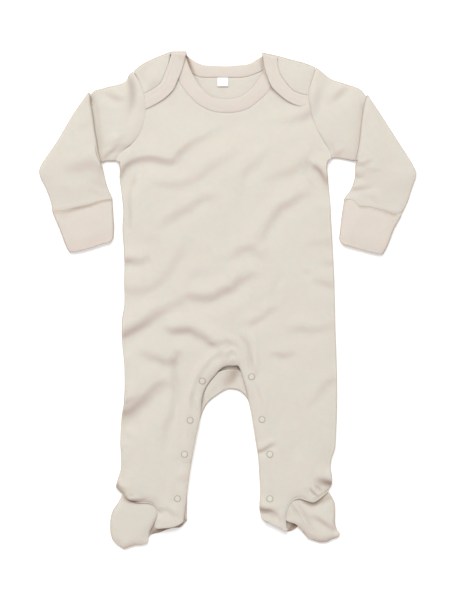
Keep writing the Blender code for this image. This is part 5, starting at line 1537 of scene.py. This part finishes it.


# Each knit's colours, flat, in its darker patches, and a pinker painted shade where it faces away from the lamp,
# the distance between its wales and between its courses and how much each stands out, and how much its loops shade
# and raise it.
knits = {
    "cream_interlock": {
        "colour": (0.655, 0.622, 0.560), "shade": (0.640, 0.588, 0.525), "paintedAwayShade": (0.668, 0.595, 0.538),
        "wale": (0.75, 0.7), "course": (0.9, 0.3), "loopTone": -0.05, "bump": (0.25, 0.18),
    },
    "cream_rib": {
        "colour": (0.686, 0.626, 0.568), "shade": (0.662, 0.600, 0.539), "paintedAwayShade": (0.690, 0.603, 0.548),
        "wale": (1.3, 1.0), "course": (0.9, 0.18), "loopTone": -0.1, "bump": (0.45, 0.32),
    },
}
knitShape = {
    "deep": (0.26, 0.17, 0.11),  # painted shade: its colour in narrow gaps, creases and rims, where light comes only off other cloth
    "wander": ((0.25, 2.0), 1.2),  # the wales wander a little
    "slant": 0.15,  # and the courses slant
    "fuzz": ((2600.0, 3.0, 0.7), 0.5), "loops": 0.5,  # scale, detail and roughness, and how much it counts
    "patchy": ((22.0, 3.0, 0.6), 0.7), "mottle": ((130.0, 3.0, 0.6), 1.3), "fleck": ((420.0, 2.0, 0.6), 0.5),
    "streaks": ((0.9, 2.0, 0.6), 0.9), "streaksLong": (0.12, 1.0, 1.0),
    "toneLess": 1.2,
    "turnAway": -3.2,  # how fast the painted shade comes in as it turns away from the lamp
    "rough": 0.88, "roughPatchy": 0.08,
}


def knitFinish(name):
    k, s = knits[name], knitShape
    f = Finish(
        name, k["colour"], 0.92, Subsurface_Weight=0.35, Subsurface_Radius=(1.0, 0.55, 0.40),
        Subsurface_Scale=0.002, Sheen_Weight=0.10, Sheen_Roughness=0.55, Sheen_Tint=(1.0, 0.96, 0.9, 1),
        Specular_IOR_Level=0.18,
    )
    lie, where = f.attribute("lie", "Vector"), f.where()
    across, along = f.part(lie, 0), f.part(lie, 1)
    drawn = f.node("ShaderNodeVectorMath", {"operation": "MULTIPLY"}, {0: lie, 1: s["streaksLong"]}).out("Vector")
    spread = {"wander": lie, "streaks": drawn, "patchy": where, "mottle": where, "fleck": where, "fuzz": where}
    grain = {kind: f.noise(place, *s[kind][0]) for kind, place in spread.items()}
    wales = ((across + grain["wander"] * s["wander"][1]) * (tau / k["wale"][0])).wave()
    courses = ((along + across * s["slant"]) * (tau / k["course"][0])).wave()
    loops = wales * k["wale"][1] + courses * k["course"][1]
    tone = loops * k["loopTone"] - s["toneLess"]
    for kind in ("patchy", "mottle", "streaks", "fleck"):
        tone = tone + grain[kind] * s[kind][1]
    # Painted shade: pinker where the surface faces away from the lamp, then dark brown where the painted shade
    # attribute says.
    away = (f.part(f.node("ShaderNodeNewGeometry").out("Normal"), 1) * s["turnAway"]).clipped()
    lit = f.mix(away, f.mix(tone.clipped(), k["colour"], k["shade"]), k["paintedAwayShade"])
    colour = f.mix(f.attribute("deep", "Fac").clipped(), lit, s["deep"])
    normal = f.bump(loops * s["loops"] + grain["fuzz"] * s["fuzz"][1], *k["bump"])
    return f.feed(Base_Color=colour, Roughness=s["rough"] + grain["patchy"] * s["roughPatchy"], Normal=normal)


studShape = {
    "middle": (0.625, 0.59, 0.525), "pearl": (0.66, 0.63, 0.55), "ring": (0.40, 0.365, 0.295),
    "stops": [(0.0, 0), (0.68, 0), (0.78, 0.9), (1.0, 1)],  # how much of the dark ring colour, out to the rim: partly the stud's own olive rim, partly painted shade in the groove
    "clouds": (700.0, 3.0), "cloudy": 0.4, "rough": 0.3, "roughCloudy": 0.15, "bump": (0.08, 0.1),
}


def studFinish():
    s = studShape
    f = Finish("pressStud", s["middle"], 0.35, Coat_Roughness=0.2, Specular_IOR_Level=0.5)
    out = f.node("ShaderNodeVectorMath", {"operation": "LENGTH"}, {0: f.attribute("lie", "Vector")}).out("Value")
    # Partly painted shade: the groove round the cap and its rim take the dark ring colour.
    ring = f.node("ShaderNodeValToRGB", {"stops": s["stops"]}, {0: out * (1 / snapShape["radius"])}).out(0)
    cloudy = f.noise(f.where(), *s["clouds"])
    colour = f.mix(ring, f.mix(cloudy * s["cloudy"], s["middle"], s["pearl"]), s["ring"])
    rough = s["rough"] + cloudy * s["roughCloudy"]
    return f.feed(Base_Color=colour, Roughness=rough, Normal=f.bump(cloudy, *s["bump"]))


tapeWeave = {
    "colour": (0.93, 0.93, 0.92), "shade": (0.86, 0.86, 0.85),
    "warp": 0.0006, "weft": 0.0005, "contrast": 0.3, "bump": (0.3, 0.06),
}


def tapeFinish():
    s = tapeWeave
    f = Finish("whiteTape", s["colour"], 0.75)
    where = f.where()
    weave = (f.part(where, 0) * (tau / s["warp"])).wave() * (f.part(where, 1) * (tau / s["weft"])).wave()
    colour = f.mix((weave * s["contrast"] + s["contrast"]).clipped(), s["colour"], s["shade"])
    return f.feed(Base_Color=colour, Normal=f.bump(weave, *s["bump"]))


studio = {
    "frameHeight": 0.690,  # how much of the table the view takes in
    "lens": 85.0, "sensor": 36.0, "clothHeight": 0.004,
    "key": {"place": (-0.63, 3.6, 4.06), "size": 3.78, "power": 248.0, "colour": (0.965, 1.0, 1.0)},
    "sky": {"strength": 0.645, "colour": (1.0, 0.97, 0.95)},
    "floor": {
        "half": 4, "level": -0.0004, "colour": (0.96, 0.96, 0.96), "shade": (0.945, 0.945, 0.945),
        "glow": 0.16,  # a table lit from below a little, so that it stays white
        "grain": (60.0, 3.0), "bump": (0.02, 0.2),
    },
}


def floorFinish():
    s = studio["floor"]
    f = Finish(
        "paleFloor", s["colour"], 0.9, Specular_IOR_Level=0.1, Emission_Color=(1, 1, 1, 1),
        Emission_Strength=s["glow"],
    )
    grain = f.noise(f.where(), *s["grain"])
    return f.feed(Base_Color=f.mix(grain, s["colour"], s["shade"]), Normal=f.bump(grain, *s["bump"]))


def setStage():
    s = studio
    wide, level = s["floor"]["half"], s["floor"]["level"]
    mesh = bpy.data.meshes.new("floor")
    corners = [(x * wide, y * wide, level) for x, y in ((-1, -1), (1, -1), (1, 1), (-1, 1))]
    mesh.from_pydata(corners, [], [(0, 1, 2, 3)])
    mesh.materials.append(floorFinish())
    placed("floor", mesh)
    world = bpy.data.worlds.new("studio")
    world.use_nodes = True
    sky = world.node_tree.nodes["Background"]
    sky.inputs[0].default_value = (*s["sky"]["colour"], 1)
    sky.inputs[1].default_value = s["sky"]["strength"]
    bpy.context.scene.world = world
    lamp = bpy.data.lights.new("key", "AREA")
    lamp.shape, lamp.size, lamp.energy, lamp.color = "DISK", s["key"]["size"], s["key"]["power"], s["key"]["colour"]
    key = placed("key", lamp)
    key.location = s["key"]["place"]
    key.rotation_euler = (-Vector(s["key"]["place"])).to_track_quat("-Z", "Y").to_euler()
    lens = bpy.data.cameras.new("camera")
    lens.lens, lens.sensor_fit, lens.sensor_height, lens.sensor_width = s["lens"], "AUTO", s["sensor"], s["sensor"]
    camera = placed("camera", lens)
    camera.location = (0, 0, s["frameHeight"] * s["lens"] / s["sensor"] + s["clothHeight"])
    bpy.context.scene.camera = camera
    bpy.context.scene.view_settings.view_transform = "Standard"


finishes = {name: knitFinish(name) for name in knits}
finishes.update({"cream_press_stud": studFinish(), "white_tape": tapeFinish()})

frontBody()
backBody()
facing("frontPlacket", "frontInner", frontFacingAt, "front_placket")
facing("backPlacket", "backInner", backFacingAt, "back_placket")
print("body laid out")

frontNeckRib()
backNeckRib()
for side in edges:
    sleevePiece(side)
    cuffPiece(side)
    footUpper(side, footCord(side))
    solePiece(side)
    for number, spot in enumerate(edges[side]["snaps"], 1):
        snapPiece(side, number, spot)
neckLabel()
print("ribs, sleeves, feet and press studs made")

setStage()
print("lamp, floor and camera set")
